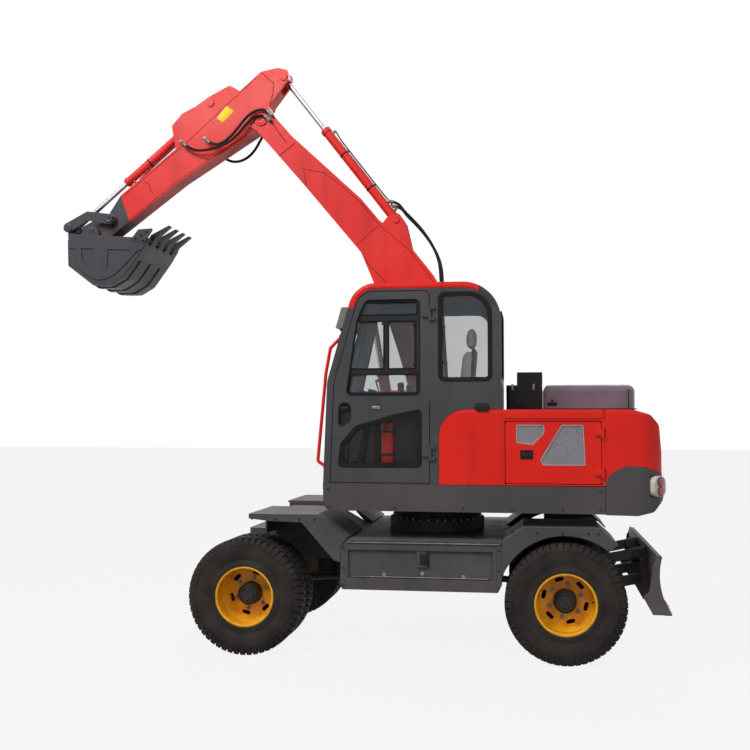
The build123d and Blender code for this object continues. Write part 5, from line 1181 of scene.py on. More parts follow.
def add_sleeve(work, place, direction, length, radius):
    """Adds a crimped hose end: a ribbed ferrule and a hex nut, in millimetres from a place along a direction."""
    rows = [(0, 6), (0, radius), (length * 0.25, radius), (length * 0.3, radius - 1.5), (length * 0.35, radius),
            (length * 0.55, radius), (length * 0.6, radius - 1.5), (length * 0.65, radius), (length, radius),
            (length, 6)]
    add_turned(work, [(d / 1000, r / 1000) for d, r in rows], mm(*place), direction, 20)
    add_turned(work, [(length / 1000, radius / 1000 + 0.002), ((length + 14) / 1000, radius / 1000 + 0.002),
                      ((length + 15) / 1000, 0.006)], mm(*place), direction, 6)


def hose_ends(name, runs, body, last, inner):
    """Banjo ends of hoses: a sleeve on the hose, and a bolt through an eye to the plate beside it."""
    work = bmesh.new()
    for points, radius in runs:
        end, before = (points[-1], points[-2]) if last else (points[0], points[1])
        toward = (Vector(before) - Vector(end)).normalized()
        side = 1 if end[1] > 0 else -1
        add_disc(work, end[0], side * inner, end[2], (0, side, 0),
                 [(0, 19), (6, 19), (7, 11), (abs(end[1]) - inner - 15, 11), (abs(end[1]) - inner - 14, 17),
                  (abs(end[1]) - inner + 14, 17), (abs(end[1]) - inner + 15, 12), (abs(end[1]) - inner + 15, 0)], 24)
        add_disc(work, end[0], side * (abs(end[1]) + 15), end[2], (0, side, 0), [(0, 12), (7, 12), (8, 10), (8, 0)], 6)
        add_sleeve(work, Vector(end) + toward * 34, -toward, 16, 16)
        add_disc(work, *(Vector(end) + toward * 32), toward, [(0, 16), (30, 16), (32, 14), (32, 12), (0, 12), (0, 16)],
                 20)
    return finished(name, work, body, "worn_steel", zinc_steel)


hose_ends("stick_hose_ends_boom", arm_runs, "boom_body", False, 147 - 10)
hose_ends("stick_hose_ends_stick", arm_runs, "stick_body", True, 100)
work = bmesh.new()
for side in (-1, 1):
    for z in (3088, 3112):
        add_disc(work, 50, side * BACK_HOSE_Y, z - 5, (0, 0, 1), [(0, 13), (0, 17), (10, 17), (10, 13), (0, 13)], 20)
    add_disc(work, -425, side * BACK_HOSE_Y, 3975, (-1, 0, 0.1),
             [(-34, 13), (-34, 17), (4, 17), (4, 20), (20, 20), (21, 0)], 20)
    add_disc(work, 50, side * BACK_HOSE_Y, 3100, (0, 0, -1),
             [(-2, 17), (14, 17), (15, 20), (32, 20), (33, 12), (70, 12), (71, 0)], 20)
finished("boom_hose_clamps", work, "boom_body", "worn_steel", zinc_steel)

# Steel pipes along the boom's back, from the hoses down to the foot, with clamps
def boom_back(z):
    """The boom's back edge at a height, in millimetres, on its lower straight run."""
    return 16 + (3233 - z) * 96 / 1553


pipes = []
for y in (-BACK_HOSE_Y, -82, 82, BACK_HOSE_Y):
    if abs(y) == BACK_HOSE_Y:
        pipes.append(([(50, y, 3060), (52, y, 2990), (boom_back(2900) + 17, y, 2900), (boom_back(1860) + 17, y, 1860)],
                      8))
    else:
        pipes.append(([(boom_back(3150) + 17, y, 3150), (boom_back(1860) + 17, y, 1860)], 8))
tubes("boom_back_pipes", pipes, "boom_body", black_paint, order=3, resolution=6, ring=3)
work = bmesh.new()
for z in CLAMP_Z:
    for side in (-1, 1):
        x = boom_back(z) - 2
        add_block(work, mm(x, min(side * 70, side * 120), z - 16), mm(x + 30, max(side * 70, side * 120), z + 16),
                  0.004)
finished("boom_pipe_clamps", work, "boom_body", "dark_paint", black_paint)
bolts("boom_pipe_clamp_bolts", [(boom_back(z) + 27, side * 94, z, (1, 0, 0), 13) for z in CLAMP_Z
                                for side in (-1, 1)], "boom_body")

# Welds and plate edges on boom and stick, in a darker red that is painted shade along them
SEAMS = []
for y in (-135.5, 135.5):
    SEAMS += [([(-1474, y, 4434), (-1320, y, 4552)], 4), ([(-1209, y, 4142), (-1238, y, 4306), (-1036, y, 4256)], 3.5),
              ([(-726, y, 3580), (-530, y, 3744)], 3), ([(-654, y, 3430), (-455, y, 3211)], 3.5)]
    SEAMS += [([(-1036, y, 4256), (-860, y, 4120), (-700, y, 3972), (-528, y, 3762), (-236, y, 3508), (-14, y, 3212),
                (88, y, 1760)], 3), ([(-125, y, 1760), (-300, y, 2440), (-470, y, 3010)], 3)]
tubes("boom_welds", SEAMS, "boom_body", weld_shade_red, order=2, resolution=1)
SEAMS = []
for y in (-100.5, 100.5):
    SEAMS += [([(-1661, y, 5255), (-1536, y, 5142), (-1544, y, 5048), (-1579, y, 4921)], 3.5),
              ([(-2809, y, 4246), (-2772, y, 4222), (-2753, y, 4190), (-2752, y, 4159), (-2729, y, 4134)], 3.5)]
    SEAMS += [([(-1700, y, 5215), (-2375, y, 4625), (-3035, y, 4104)], 2.6),
              ([(-1730, y, 4705), (-2455, y, 4255), (-3160, y, 3730)], 2.6)]
tubes("stick_welds", SEAMS, "stick_body", weld_shade_red, order=2, resolution=1)
curve = []
for y in (-100.5, 100.5):
    curve.append(([(-2469, y, 4611), (-2403, y, 4548), (-2329, y, 4498), (-2264, y, 4466), (-2170, y, 4436)], 3.5))
tubes("stick_lug_welds", curve, "stick_body", weld_shade_red)

# Blank yellow label on the stick's near side
work = bmesh.new()
loops = [[work.verts.new(mm(p.x, y, p.y)) for p in arc_rows([(-2096, 4833, 8), (-2000, 4949, 8), (-1925, 4894, 8),
                                                             (-2033, 4786, 8)], inset)]
         for inset, y in ((0, -99.5), (0.1, -100.6), (0.6, -100.9))]
for one, two in zip(loops, loops[1:]):
    for k in range(len(one)):
        work.faces.new([one[k], one[(k + 1) % len(one)], two[(k + 1) % len(one)], two[k]])
work.faces.new(loops[0])
work.faces.new(loops[-1])
finished("stick_label", work, "stick_body", "rim_paint", label_yellow)

# Pins: end plates, keeper bolts and grease nipples
def add_pin_end(work, x, y, z, radius, turn=0.6, reach=1.45):
    """Adds a pin's end plate with a keeper tongue towards an angle, on the face at depth y."""
    side = 1 if y > 0 else -1
    add_disc(work, x, y - side, z, (0, side, 0), [(0, radius), (4, radius), (6, radius - 2.5), (6, radius * 0.45),
                                                  (5, radius * 0.4), (5, 0)], 32)
    a = Vector((math.cos(turn), math.sin(turn)))
    n = Vector((-a.y, a.x))
    rows = [(x + p.x, z + p.y, 7) for p in (a * radius * 0.7 + n * radius * 0.38, a * radius * reach + n * radius * 0.3,
                                            a * radius * reach - n * radius * 0.3,
                                            a * radius * 0.7 - n * radius * 0.38)]
    add_slab(work, arc_rows(rows, 0), in_side_view, y - side, y + side * 4)
    add_disc(work, x + a.x * radius * 1.2, y + side * 4, z + a.y * radius * 1.2, (0, side, 0),
             [(0, 9), (1.5, 9), (1.5, 7.5), (7, 7.5), (8, 6), (8, 0)], 6)
    add_disc(work, x, y + side * 4, z, (0, side, 0), [(0, 5), (3, 5), (4, 3), (9, 3), (10, 4), (12, 2.5), (12, 0)], 12)


work = bmesh.new()
for side in (-1, 1):
    add_pin_end(work, -1650, side * 147, 4790, 42, 0.9, 1.25)
finished("stick_pin_ends", work, "boom_body", "red_paint", boom_paint)
work = bmesh.new()
for side in (-1, 1):
    add_pin_end(work, 0, side * 190, 1700, 50, 2.4)
finished("boom_foot_pin_ends", work, "upper", "dark_paint", graphite_paint)
work = bmesh.new()
for side in (-1, 1):
    add_pin_end(work, -3140, side * 168, 3880, 34, 0.4)
    add_disc(work, -3140, side * 126, 3880, (0, side, 0), [(0, 58), (5, 58), (7, 54), (7, 38), (0, 38)], 32)
finished("rocker_pin_ends", work, "stick_body", "dark_paint", arm_dark_paint)
work = bmesh.new()
for side in (-1, 1):
    add_disc(work, -3560, side * 159.5, 3810, (0, side, 0), [(0, 44), (5, 43), (8, 38), (8, 24), (9, 24), (9, 0)], 36)
    add_disc(work, -3560, side * 168, 3810, (0, side, 0), [(0, 5), (4, 5), (5, 3), (9, 3), (9, 0)], 12)
    add_disc(work, -3140, side * 159.5, 3880, (0, side, 0), [(0, 48), (3, 47), (4, 42), (4, 37), (0, 37)], 36)
finished("rocker_bosses", work, "rocker", "dark_paint", arm_dark_paint)
work = bmesh.new()
for side in (-1, 1):
    add_pin_end(work, -3340, side * 130, 3750, 40, 1.0)
    add_pin_end(work, -3520, side * 138, 3580, 36, 2.2)
    add_disc(work, -3340, side * 124, 3750, (0, side, 0), [(0, 66), (5, 65), (6, 60), (6, 42), (0, 42)], 36)
finished("bucket_pin_ends", work, "bucket", "dark_paint", arm_dark_paint)
tubes("boom_grease_line", [([(-1590, -140, 4800), (-1540, -142, 4760), (-1470, -140, 4640), (-1400, -139, 4560)], 3)],
      "boom_body", black_plastic)

# Hydraulic cylinders: gland, ports, hard pipe, rod eye and pin washers
def dress_cylinder(name, foot, eye, reach, bore, rod, barrel, rod_body, up, eye_half=45):
    """Fittings of one cylinder; up is 1 or -1, the side of its axis on which its pipe runs."""
    foot, eye = Vector((foot[0], 0, foot[1])), Vector((eye[0], 0, eye[1]))
    axis = (eye - foot).normalized()
    out = Vector((-axis.z, 0, axis.x)) * up
    work = bmesh.new()
    turned = [(reach - 42, bore + 2), (reach - 42, bore + 4.6), (reach - 38, bore + 5.4), (reach - 10, bore + 5.4),
              (reach - 6, bore + 4.6), (reach - 1, bore + 4.6), (reach - 1, bore + 2)]
    add_disc(work, *foot, axis, turned + [turned[0]], 40)
    finished(f"{name}_gland", work, barrel, "red_paint", boom_paint)
    work = bmesh.new()
    for place in (95, reach - 70):
        start = foot + axis * place + out * (bore - 4)
        add_disc(work, *start, out, [(0, 17), (14, 16), (14, 11), (22, 11), (23, 9), (23, 0)], 20)
        add_disc(work, *(start + out * 14), out, [(0, 13.5), (8, 13.5), (9, 11), (9, 0)], 6)
        add_disc(work, *(start + out * 27 - axis * 9), axis, [(0, 9), (18, 9), (18, 0)], 14)
    add_disc(work, *(foot + axis * (reach + 3)), axis, [(0, rod + 1), (0, bore - 4), (4, bore - 6), (5, rod + 1.5),
                                                        (0, rod + 1)], 36)
    finished(f"{name}_ports", work, barrel, "worn_steel", zinc_steel)
    height = out * (bore + 23)
    run = [foot + axis * (reach - 70) + height, foot + axis * (reach - 110) + height,
           foot + axis * (reach - 150) + out * (bore + 11),
           foot + axis * (reach * 0.5) + out * (bore + 11), foot + axis * 190 + out * (bore + 11),
           foot + axis * 150 + out * (bore + 16)]
    work = bmesh.new()
    for place in (reach * 0.35, reach * 0.72):
        add_disc(work, *(foot + axis * place), axis, [(0, bore - 1), (0, bore + 2.5), (16, bore + 2.5), (16, bore - 1),
                                                      (0, bore - 1)], 40)
        add_disc(work, *(foot + axis * place + out * (bore + 3)), axis, [(0, 12), (16, 12), (16, 0)], 12)
    finished(f"{name}_bands", work, barrel, "dark_paint", black_paint)
    tubes(f"{name}_pipe", [([tuple(p) for p in run], 7)], barrel, black_paint, ring=3)
    work = bmesh.new()
    for side in (-1, 1):
        add_disc(work, foot.x, side * (eye_half - 1), foot.z, (0, side, 0), [(0, 30), (0, 40), (3, 40), (4, 38),
                                                                             (4, 30), (0, 30)], 36)
    add_disc(work, *(foot + axis * 46 + out * 0.1), axis, [(0, bore - 12), (6, bore - 6), (12, bore + 2.5),
                                                           (22, bore + 2.5),
                                                           (24, bore - 1), (24, bore - 12), (0, bore - 12)], 40)
    finished(f"{name}_base_weld", work, barrel, "red_paint", boom_paint)
    work = bmesh.new()
    add_disc(work, *(eye - axis * 62), axis, [(0, rod - 2), (0, rod + 6), (3, rod + 8), (14, rod + 8), (17, rod + 5),
                                              (17, rod - 2), (0, rod - 2)], 36)
    for side in (-1, 1):
        add_disc(work, eye.x, side * 35, eye.z, (0, side, 0), [(0, 28), (0, 36), (3, 36), (4, 34), (4, 28), (0, 28)],
                 36)
    finished(f"{name}_rod_collar", work, rod_body, "red_paint", boom_paint)


dress_cylinder("boom_cylinder", (-330, 1360), (-620, 3050), 1050, 52, 30, "boom_cylinder", "boom_rod", 1)
dress_cylinder("stick_cylinder", (-371, 3811), (-1442, 5203), 1124, 45, 26, "stick_cylinder", "stick_rod", -1)
dress_cylinder("bucket_cylinder", (-2165, 4985), (-3560, 3810), 1130, 40, 24, "bucket_cylinder", "bucket_rod", 1, 42)

# Bucket: cutter bolts, tooth pins and shanks, welds along the ribs
places = []
for side in (-1, 1):
    for x, z in ((-2772, 3640), (-2716, 3668), (-2700, 3620), (-2668, 3700)):
        places.append((x, side * 416, z, (0, side, 0), 20))
bolts("bucket_cutter_bolts", places, "bucket", arm_dark_paint)
lip, root = Vector((-2642, 3641)), Vector((-2711, 3526))
edge = (lip - root).normalized()
places, work = [], bmesh.new()
for y in (-285, -95, 95, 285):
    for side in (-1, 1):
        spot = lip - edge * 22
        places.append((spot.x, y + side * 38, spot.y, (0, side, 0), 17))
    middle = lip - edge * 62
    add_block(work, mm(middle.x - 34, y - 40, middle.y - 3), mm(middle.x - 26, y + 40, middle.y + 5), 0.002)
finished("tooth_welds", work, "bucket", "dark_paint", arm_dark_paint)
bolts("tooth_pins", places, "bucket", zinc_steel, rivet_source)
tubes("bucket_welds", [([(x, side * BUCKET_SIDE, z) for x, z in ((-3440, 3640), (-3432, 3400), (-3182, 3212),
                                                                 (-3020, 3212), (-2895, 3286), (-2716, 3530))], 5)
                       for side in (-1, 1)],
      "bucket", arm_dark_paint, order=2, resolution=1)
tubes("bucket_ear_welds", [([(-3432, side * (110 + w), 3620), (-3428, side * (110 + w), 3430)], 6) for side in (-1, 1)
                           for w in (-17, 17)],
      "bucket", arm_dark_paint, order=2, resolution=1)

# Blade: a cutting edge strip with countersunk bolts, end welds and the cylinder's ports
LIP_X, LIP_Z = 1940, 421


def blade_face(share):
    """A point on the blade's rear face, by its share of the height."""
    a, b, c = (LIP_X, LIP_Z), (LIP_X - 90, LIP_Z + 250), (LIP_X - 73, LIP_Z + 455)
    t = share
    return [(1 - t) * (1 - 2 * t) * a[k] + 4 * t * (1 - t) * b[k] + t * (2 * t - 1) * c[k] for k in (0, 1)]


work = bmesh.new()
rows = [blade_face(s) for s in (0.005, 0.05, 0.1, 0.15, 0.19)]
front = [(x + 6, z) for x, z in rows]
front[0], front[-1] = (rows[0][0] - 1, rows[0][1]), (rows[-1][0] + 1, rows[-1][1] + 4)
outline = [(x - 3, z) for x, z in rows] + list(reversed([(min(x, 1939.5), z) for x, z in front]))
left, right = [[work.verts.new(mm(x, y, z)) for x, z in outline] for y in (-1117, 1117)]
work.faces.new(left)
work.faces.new(list(reversed(right)))
for k in range(len(outline)):
    m = (k + 1) % len(outline)
    work.faces.new([left[k], right[k], right[m], left[m]])
finished("blade_cutting_edge", work, "blade_body", "worn_steel", worn_steel)
spot = blade_face(0.12)
bolts("blade_edge_bolts", [(spot[0] + 4, y, spot[1], (0.9, 0, 0.35), 24) for y in range(-1050, 1051, 150)],
      "blade_body", worn_steel, rivet_source)
tubes("blade_welds", [([(LIP_X - 92, side * (y + w), LIP_Z + 120), (LIP_X - 112, side * (y + w), LIP_Z + 250),
                        (LIP_X - 127, side * (y + w), LIP_Z + 400)], 5)
                      for side in (-1, 1) for y, w in ((400, 4), (1100, -4), (378, -4))],
      "blade_body", blade_paint, order=3)
work = bmesh.new()
for side in (-1, 1):
    for x, z in ((1760.2, 593.6), (1760.2, 813.6)):
        add_disc(work, x, side * 399.5, z, (0, side, 0), [(0, 34), (6, 34), (8, 31), (8, 14), (6, 12), (6, 0)], 32)
        add_disc(work, x, side * 405, z, (0, side, 0), [(0, 5), (5, 4), (9, 4), (9, 0)], 12)
finished("blade_pin_ends", work, "blade_body", "dark_paint", axle_iron)
work = bmesh.new()
axis = (Vector((1613.4, 0, 562.4)) - Vector((1360, 0, 1020))).normalized()
out = Vector((axis.z, 0, -axis.x))
foot = Vector((1360, 0, 1020))
for place in (95, 360):
    start = foot + axis * place - out * 32
    add_disc(work, *start, -out, [(0, 14), (12, 14), (12, 10), (20, 10), (20, 0)], 16)
add_disc(work, *(foot + axis * 376), axis, [(0, 36), (0, 44), (8, 45), (22, 45), (24, 42), (24, 36), (0, 36)], 36)
finished("blade_cylinder_ports", work, "blade_cylinder", "worn_steel", zinc_steel)

# Air cleaner: ribbed cover and clamps; bonnet seam and latch; right box doors and caps
work = bmesh.new()
for z in range(2050, 2236, 16):
    rows = [(645, -523, 32), (958, -523, 32), (958, -197, 32), (645, -197, 32)]
    add_trim(work, rows, [(0, z), (-0.5, z + 2.5), (0, z + 5), (6, z + 5), (6, z)], lambda x, y, z: mm(x, y, z))
rows = [(737, -503, 26), (958, -503, 26), (958, -217, 26), (737, -217, 26)]
for z in (2262, 2284, 2306, 2328):
    add_trim(work, rows, [(0, z), (-0.5, z + 3), (0, z + 6), (5, z + 6), (5, z)], lambda x, y, z: mm(x, y, z))
finished("air_cleaner_ribs", work, "upper", "black_plastic", black_plastic)
work = bmesh.new()
for x in (700, 880):
    for y, side in ((-521, -1), (-199, 1)):
        add_block(work, mm(x - 9, min(y, y + side * 7), 2205), mm(x + 9, max(y, y + side * 7), 2262), 0.003)
finished("air_cleaner_clips", work, "upper", "worn_steel", zinc_steel)
work = bmesh.new()
rows = [(962, -453, 40), (1753, -453, 40), (1753, 453, 40), (962, 453, 40)]
add_trim(work, rows, [(0, 2040), (-2, 2042), (-2, 2047), (0, 2049), (10, 2049), (10, 2040)],
         lambda x, y, z: mm(x, y, z))
finished("bonnet_seal", work, "upper", "black_plastic", seal_rubber)
work = bmesh.new()
add_block(work, mm(1000, -462, 2075), mm(1080, -446, 2105), 0.004)
add_block(work, mm(1012, -469, 2082), mm(1068, -458, 2098), 0.004)
add_disc(work, 1040, -460, 2118, (0, -1, 0), [(0, 11), (3, 11), (5, 8), (5, 0)], 20)
finished("bonnet_latch", work, "bonnet_cover", "black_plastic", black_plastic)
work = bmesh.new()
for x, radius, top in ((-480, 55, 2020), (250, 70, 2040)):
    add_disc(work, x, 620, top - 22, (0, 0, 1), [(0, radius), (0, radius + 5), (4, radius + 6), (17, radius + 6),
                                                 (20, radius + 3), (20.5, radius)], 40)
    for k in range(18):
        a = 2 * math.pi * k / 18
        add_disc(work, x + (radius + 5) * math.cos(a), 620 + (radius + 5) * math.sin(a), top - 20, (0, 0, 1),
                 [(0, 3.5), (15, 3.5), (16, 2.5), (16, 0)], 8)
finished("tank_caps", work, "upper", "black_plastic", black_plastic)
tubes("right_box_seams", [([(-700, RIGHT_FACE, 1480), (-690, RIGHT_FACE, 1880),
                            (-100, RIGHT_FACE, 1900), (-100, RIGHT_FACE, 1480), (-700, RIGHT_FACE, 1480)], 2),
                          ([(-70, RIGHT_FACE, 1480), (-70, RIGHT_FACE, 1905),
                            (560, RIGHT_FACE, 1930), (560, RIGHT_FACE, 1480), (-70, RIGHT_FACE, 1480)], 2)],
      "upper", seal_rubber, order=2, resolution=1)
work = bmesh.new()
for x in (-160, -10):
    add_trim(work, [(x - 30, 1690, 8), (x - 30, 1760, 8), (x + 30, 1760, 8), (x + 30, 1690, 8)],
             [(0, 1049.5), (1, 1052), (6, 1052), (8, 1049.5)], in_side_view)
    add_block(work, mm(x - 18, 1047, 1704), mm(x + 18, 1053, 1746), 0.004)
finished("right_box_latches", work, "upper", "black_plastic", black_plastic)
bolts("engine_door_hinge_bolts", [(1392 + d, -1052, z + e, (0, -1, 0), 13) for z in (1526, 1845) for d in (0, 18)
                                  for e in (-14, 14)],
      "engine_cover")
tubes("hood_seams", [([(640, -1051.5, 1966), (1440, -1051.5, 1966)], 1.6),
                     ([(635, -1051.5, 1432), (635, -1051.5, 1960)], 1.8)],
      "upper", hood_paint, order=2, resolution=1)
bolts("deck_bolts", [(x, -RIGHT_FACE, z, (0, -1, 0), 18)
                     for x, z in ((-820, DECK_BOLT_Z), (-820, 1384), (-260, DECK_BOLT_Z), (300, DECK_BOLT_Z),
                                  (700, DECK_BOLT_Z), (1100, DECK_BOLT_Z), (1400, DECK_BOLT_Z), (1400, 1384))],
      "upper", graphite_paint)

# The cab's side panel closes round the red side panel's front top corner
work = bmesh.new()
corner = [Vector((107, 1822)), Vector((107, 2038)), Vector((324, 2038))]
corner += [Vector((324 - 212 * math.sin(a), 1822 + 212 * math.cos(a))) for a in (math.pi * k / 32 for k in range(17))]
add_slab(work, corner, in_side_view, -1049, -1052)
finished("side_panel_corner", work, "upper", "dark_paint", cab_paint)

# Cab inside: seat cushions, bellows, arm rests, levers, pedals, wheel, monitor, extinguisher and mat
SEAT_Y = -627.5


def cushion_mesh(name, line, half):
    """A closed cushion: a side-view outline swept across and drawn in towards both sides."""
    work = bmesh.new()
    points = arc_rows(line, 0, 5)
    columns = 14
    rings = []
    middle = sum((Vector(p) for p in points), Vector((0, 0))) / len(points)
    for column in range(columns + 1):
        share = -1 + 2 * column / columns
        swell = 1 - 0.10 * share ** 6 - 0.02 * abs(share)
        rings.append([work.verts.new(mm(middle.x + (p.x - middle.x) * swell, SEAT_Y + share * half,
                                        middle.y + (p.y - middle.y) * swell))
                      for p in points])
    for one, two in zip(rings, rings[1:]):
        for k in range(len(points)):
            m = (k + 1) % len(points)
            work.faces.new([one[k], one[m], two[m], two[k]])
    work.faces.new(rings[0])
    work.faces.new(rings[-1])
    outward(work)
    return to_mesh(name, work)


def inflated(name, mesh, pressure, cap, seams):
    """The cushion blown up as cloth with a capped swell, with sewn seams pressed in afterwards."""
    holder = bpy.data.objects.new(name, mesh)
    collection.objects.link(holder)
    remesh = holder.modifiers.new("even", "REMESH")
    remesh.mode = "VOXEL"
    remesh.voxel_size = 0.008
    even = applied(holder)
    rest = [v.co.copy() for v in even.vertices]
    holder = bpy.data.objects.new(name, even)
    collection.objects.link(holder)
    cloth = holder.modifiers.new("cloth", "CLOTH")
    cloth.settings.quality = 4
    cloth.settings.use_pressure = True
    cloth.settings.uniform_pressure_force = pressure
    cloth.settings.effector_weights.gravity = 0
    cloth.point_cache.frame_start, cloth.point_cache.frame_end = 1, 20
    for step in range(1, 21):
        bpy.context.scene.frame_set(step)
    even = applied(holder)
    bpy.context.scene.frame_set(1)
    for vert, start in zip(even.vertices, rest):
        move = vert.co - start
        if move.length > cap:
            vert.co = start + move.normalized() * cap
        for axis, place, low, high in seams:
            if low <= vert.co[1 if axis != 1 else 2] <= high:
                away = abs(vert.co[axis] - place)
                if away < 0.014:
                    vert.co -= vert.normal * 0.006 * (1 - away / 0.014) ** 1.5
    holder = bpy.data.objects.new(name, even)
    collection.objects.link(holder)
    smooth = holder.modifiers.new("fine", "SUBSURF")
    smooth.levels = smooth.render_levels = 1
    return applied(holder)


PADS = {
    "seat_cushion": ([(-140, 1812, 30), (-146, 1880, 45), (-110, 1920, 40), (220, 1905, 40), (250, 1850, 30),
                      (240, 1812, 25)], 226,
                     [(0, 0.03, -0.85, -0.4), (0, -0.06, -0.85, -0.4), (1, -0.755, 1.86, 2.0), (1, -0.5, 1.86, 2.0)]),
    "seat_back": ([(228, 1905, 40), (250, 2080, 60), (308, 2545, 40), (380, 2545, 40), (345, 1905, 40)], 214,
                  [(2, 2.08, -0.82, -0.43), (2, 2.24, -0.82, -0.43), (2, 2.40, -0.82, -0.43)]),
    "seat_headrest": ([(322, 2562, 20), (333, 2728, 35), (394, 2728, 30), (380, 2562, 20)], 120, []),
}
cushions = []
for name, (line, half, seams) in PADS.items():
    mesh = inflated(name, cushion_mesh(name, line, half), 4.0, 0.012, seams)
    pad = settle(name, mesh, "upper", [seat_fabric], 60)
    cushions.append(pad)
work = bmesh.new()
add_trim(work, [(-160, SEAT_Y - 140, 30), (262, SEAT_Y - 140, 30), (262, SEAT_Y + 140, 30), (-160, SEAT_Y + 140, 30)],
         [(60, 1500), (48, 1520), (64, 1545), (48, 1570), (64, 1595), (48, 1620), (64, 1645), (48, 1670), (64, 1695),
          (50, 1720), (60, 1732), (90, 1732), (90, 1500)], lambda x, y, z: mm(x, y, z))
add_block(work, mm(-110, SEAT_Y - 170, 1732), mm(262, SEAT_Y + 170, 1760), 0.008)
add_block(work, mm(-140, SEAT_Y - 215, 1776), mm(268, SEAT_Y + 215, 1806), 0.01)
for side in (-1, 1):
    add_block(work, mm(-90, SEAT_Y + side * 190 - 12, 1758), mm(230, SEAT_Y + side * 190 + 12, 1778), 0.003)
    add_block(work, mm(40, SEAT_Y + side * 225 - 10, 1800), mm(330, SEAT_Y + side * 225 + 10, 1870), 0.012)
add_slab(work, arc_rows([(338, 1850, 10), (398, 2535, 30), (386, 2560, 10), (372, 2540, 10), (330, 1880, 10)], 0),
         in_side_view, SEAT_Y - 200, SEAT_Y + 200)
add_block(work, mm(-80, SEAT_Y - 165, 1480), mm(262, SEAT_Y + 165, 1502), 0.006)
frame_piece = finished("seat_frame", work, "upper", "black_plastic", black_plastic)
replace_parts(frame_piece, "seat")
tubes("headrest_stays", [([(365, SEAT_Y + y, 2500), (366, SEAT_Y + y, 2600)], 7) for y in (-60, 60)], "upper",
      chrome_rod, order=2, resolution=1)
work, soft = bmesh.new(), bmesh.new()
for side in (-1, 1):
    y = SEAT_Y + side * 305
    add_disc(work, -200, y, 2055, (-0.1, 0, 1), [(0, 40), (8, 40), (14, 30), (20, 34), (27, 26), (34, 30), (42, 20),
                                                 (50, 22), (60, 13), (60, 0)], 24)
    add_disc(work, -213, y, 2142, (-0.075, 0, 1), [(0, 15), (6, 24), (30, 27), (60, 24.5), (92, 28), (112, 26.5),
                                                   (120, 19), (122, 0)], 20)
    add_block(work, mm(-120, y - 38, 2062), mm(-20, y + 38, 2070), 0.003)
    for k in range(4):
        add_block(work, mm(-110 + 24 * k, y - 28, 2068), mm(-94 + 24 * k, y - 6, 2075), 0.003)
        add_disc(work, -102 + 24 * k, y + 16, 2068, (0, 0, 1), [(0, 8), (6, 7), (7, 5), (7, 0)], 14)
    add_block(soft, mm(0, y - 40, 2066), mm(238, y + 40, 2104), 0.016)
finished("lever_boots", work, "upper", "black_plastic", black_plastic)
finished("arm_rests", soft, "upper", "black_plastic", seal_rubber)
work = bmesh.new()
for side in (-1, 1):
    y = SEAT_Y + side * 62
    add_block(work, mm(-668, y - 42, 1562), mm(-572, y + 42, 1576), 0.004, Euler((0, 0.5, 0)))
    for k in range(5):
        add_block(work, mm(-660 + 20 * k, y - 36, 1574), mm(-654 + 20 * k, y + 36, 1580), 0.001, Euler((0, 0.5, 0)),
                  mm(-620, y, 1569))
finished("pedals", work, "upper", "black_plastic", seal_rubber)
work = bmesh.new()
axis = Vector((0.26, 0, 0.97)).normalized()
add_disc(work, -505, SEAT_Y, 2196, axis, [(0, 46), (8, 45), (16, 36), (18, 20), (18, 0)], 32)
add_disc(work, -640, SEAT_Y, 1535, (0.164, 0, 0.986), [(0, 74), (12, 74), (26, 62), (44, 66), (60, 56), (60, 0)], 28)
rows = [(-566, 1896, 14), (-566, 2154, 14), (-464, 2154, 14), (-464, 1896, 14)]
add_trim(work, rows, [(0, -334), (2, -337), (12, -337), (14, -332), (0, -328)], in_side_view)
finished("steering_hub", work, "upper", "black_plastic", black_plastic)
work = bmesh.new()
add_slab(work, arc_rows([(-552, 1912, 8), (-552, 2140, 8), (-478, 2140, 8), (-478, 1912, 8)], 0), in_side_view,
         -331, -333)
finished("monitor_face", work, "upper", "window_glass", grey_plastic)
work = bmesh.new()
add_disc(work, -325, -905, 1573, (0, 0, 1), [(0, 52), (3, 60), (12, 63), (330, 63), (352, 56), (368, 36), (374, 22),
                                             (392, 20), (392, 0)], 36)
finished("extinguisher", work, "upper", "red_paint", safety_red)
work = bmesh.new()
add_disc(work, -325, -905, 1960, (0, 0, 1), [(0, 17), (22, 17), (24, 12), (24, 0)], 20)
add_block(work, mm(-370, -913, 1986), mm(-298, -897, 1996), 0.003, Euler((0, 0.25, 0)))
for z in (1650, 1840):
    add_disc(work, -325, -905, z, (0, 0, 1), [(0, 62), (0, 66), (22, 66), (22, 62), (0, 62)], 36)
add_block(work, mm(-270, -920, 1640), mm(-258, -890, 1870), 0.003)
finished("extinguisher_fittings", work, "upper", "black_plastic", black_plastic)
work = bmesh.new()
for k in range(24):
    add_block(work, mm(-650 + 24 * k, -980, 1480), mm(-638 + 24 * k, -290, 1486), 0.001)
add_block(work, mm(-665, -990, 1478), mm(-70, -280, 1482), 0.001)
finished("cab_mat", work, "upper", "black_plastic", seal_rubber)
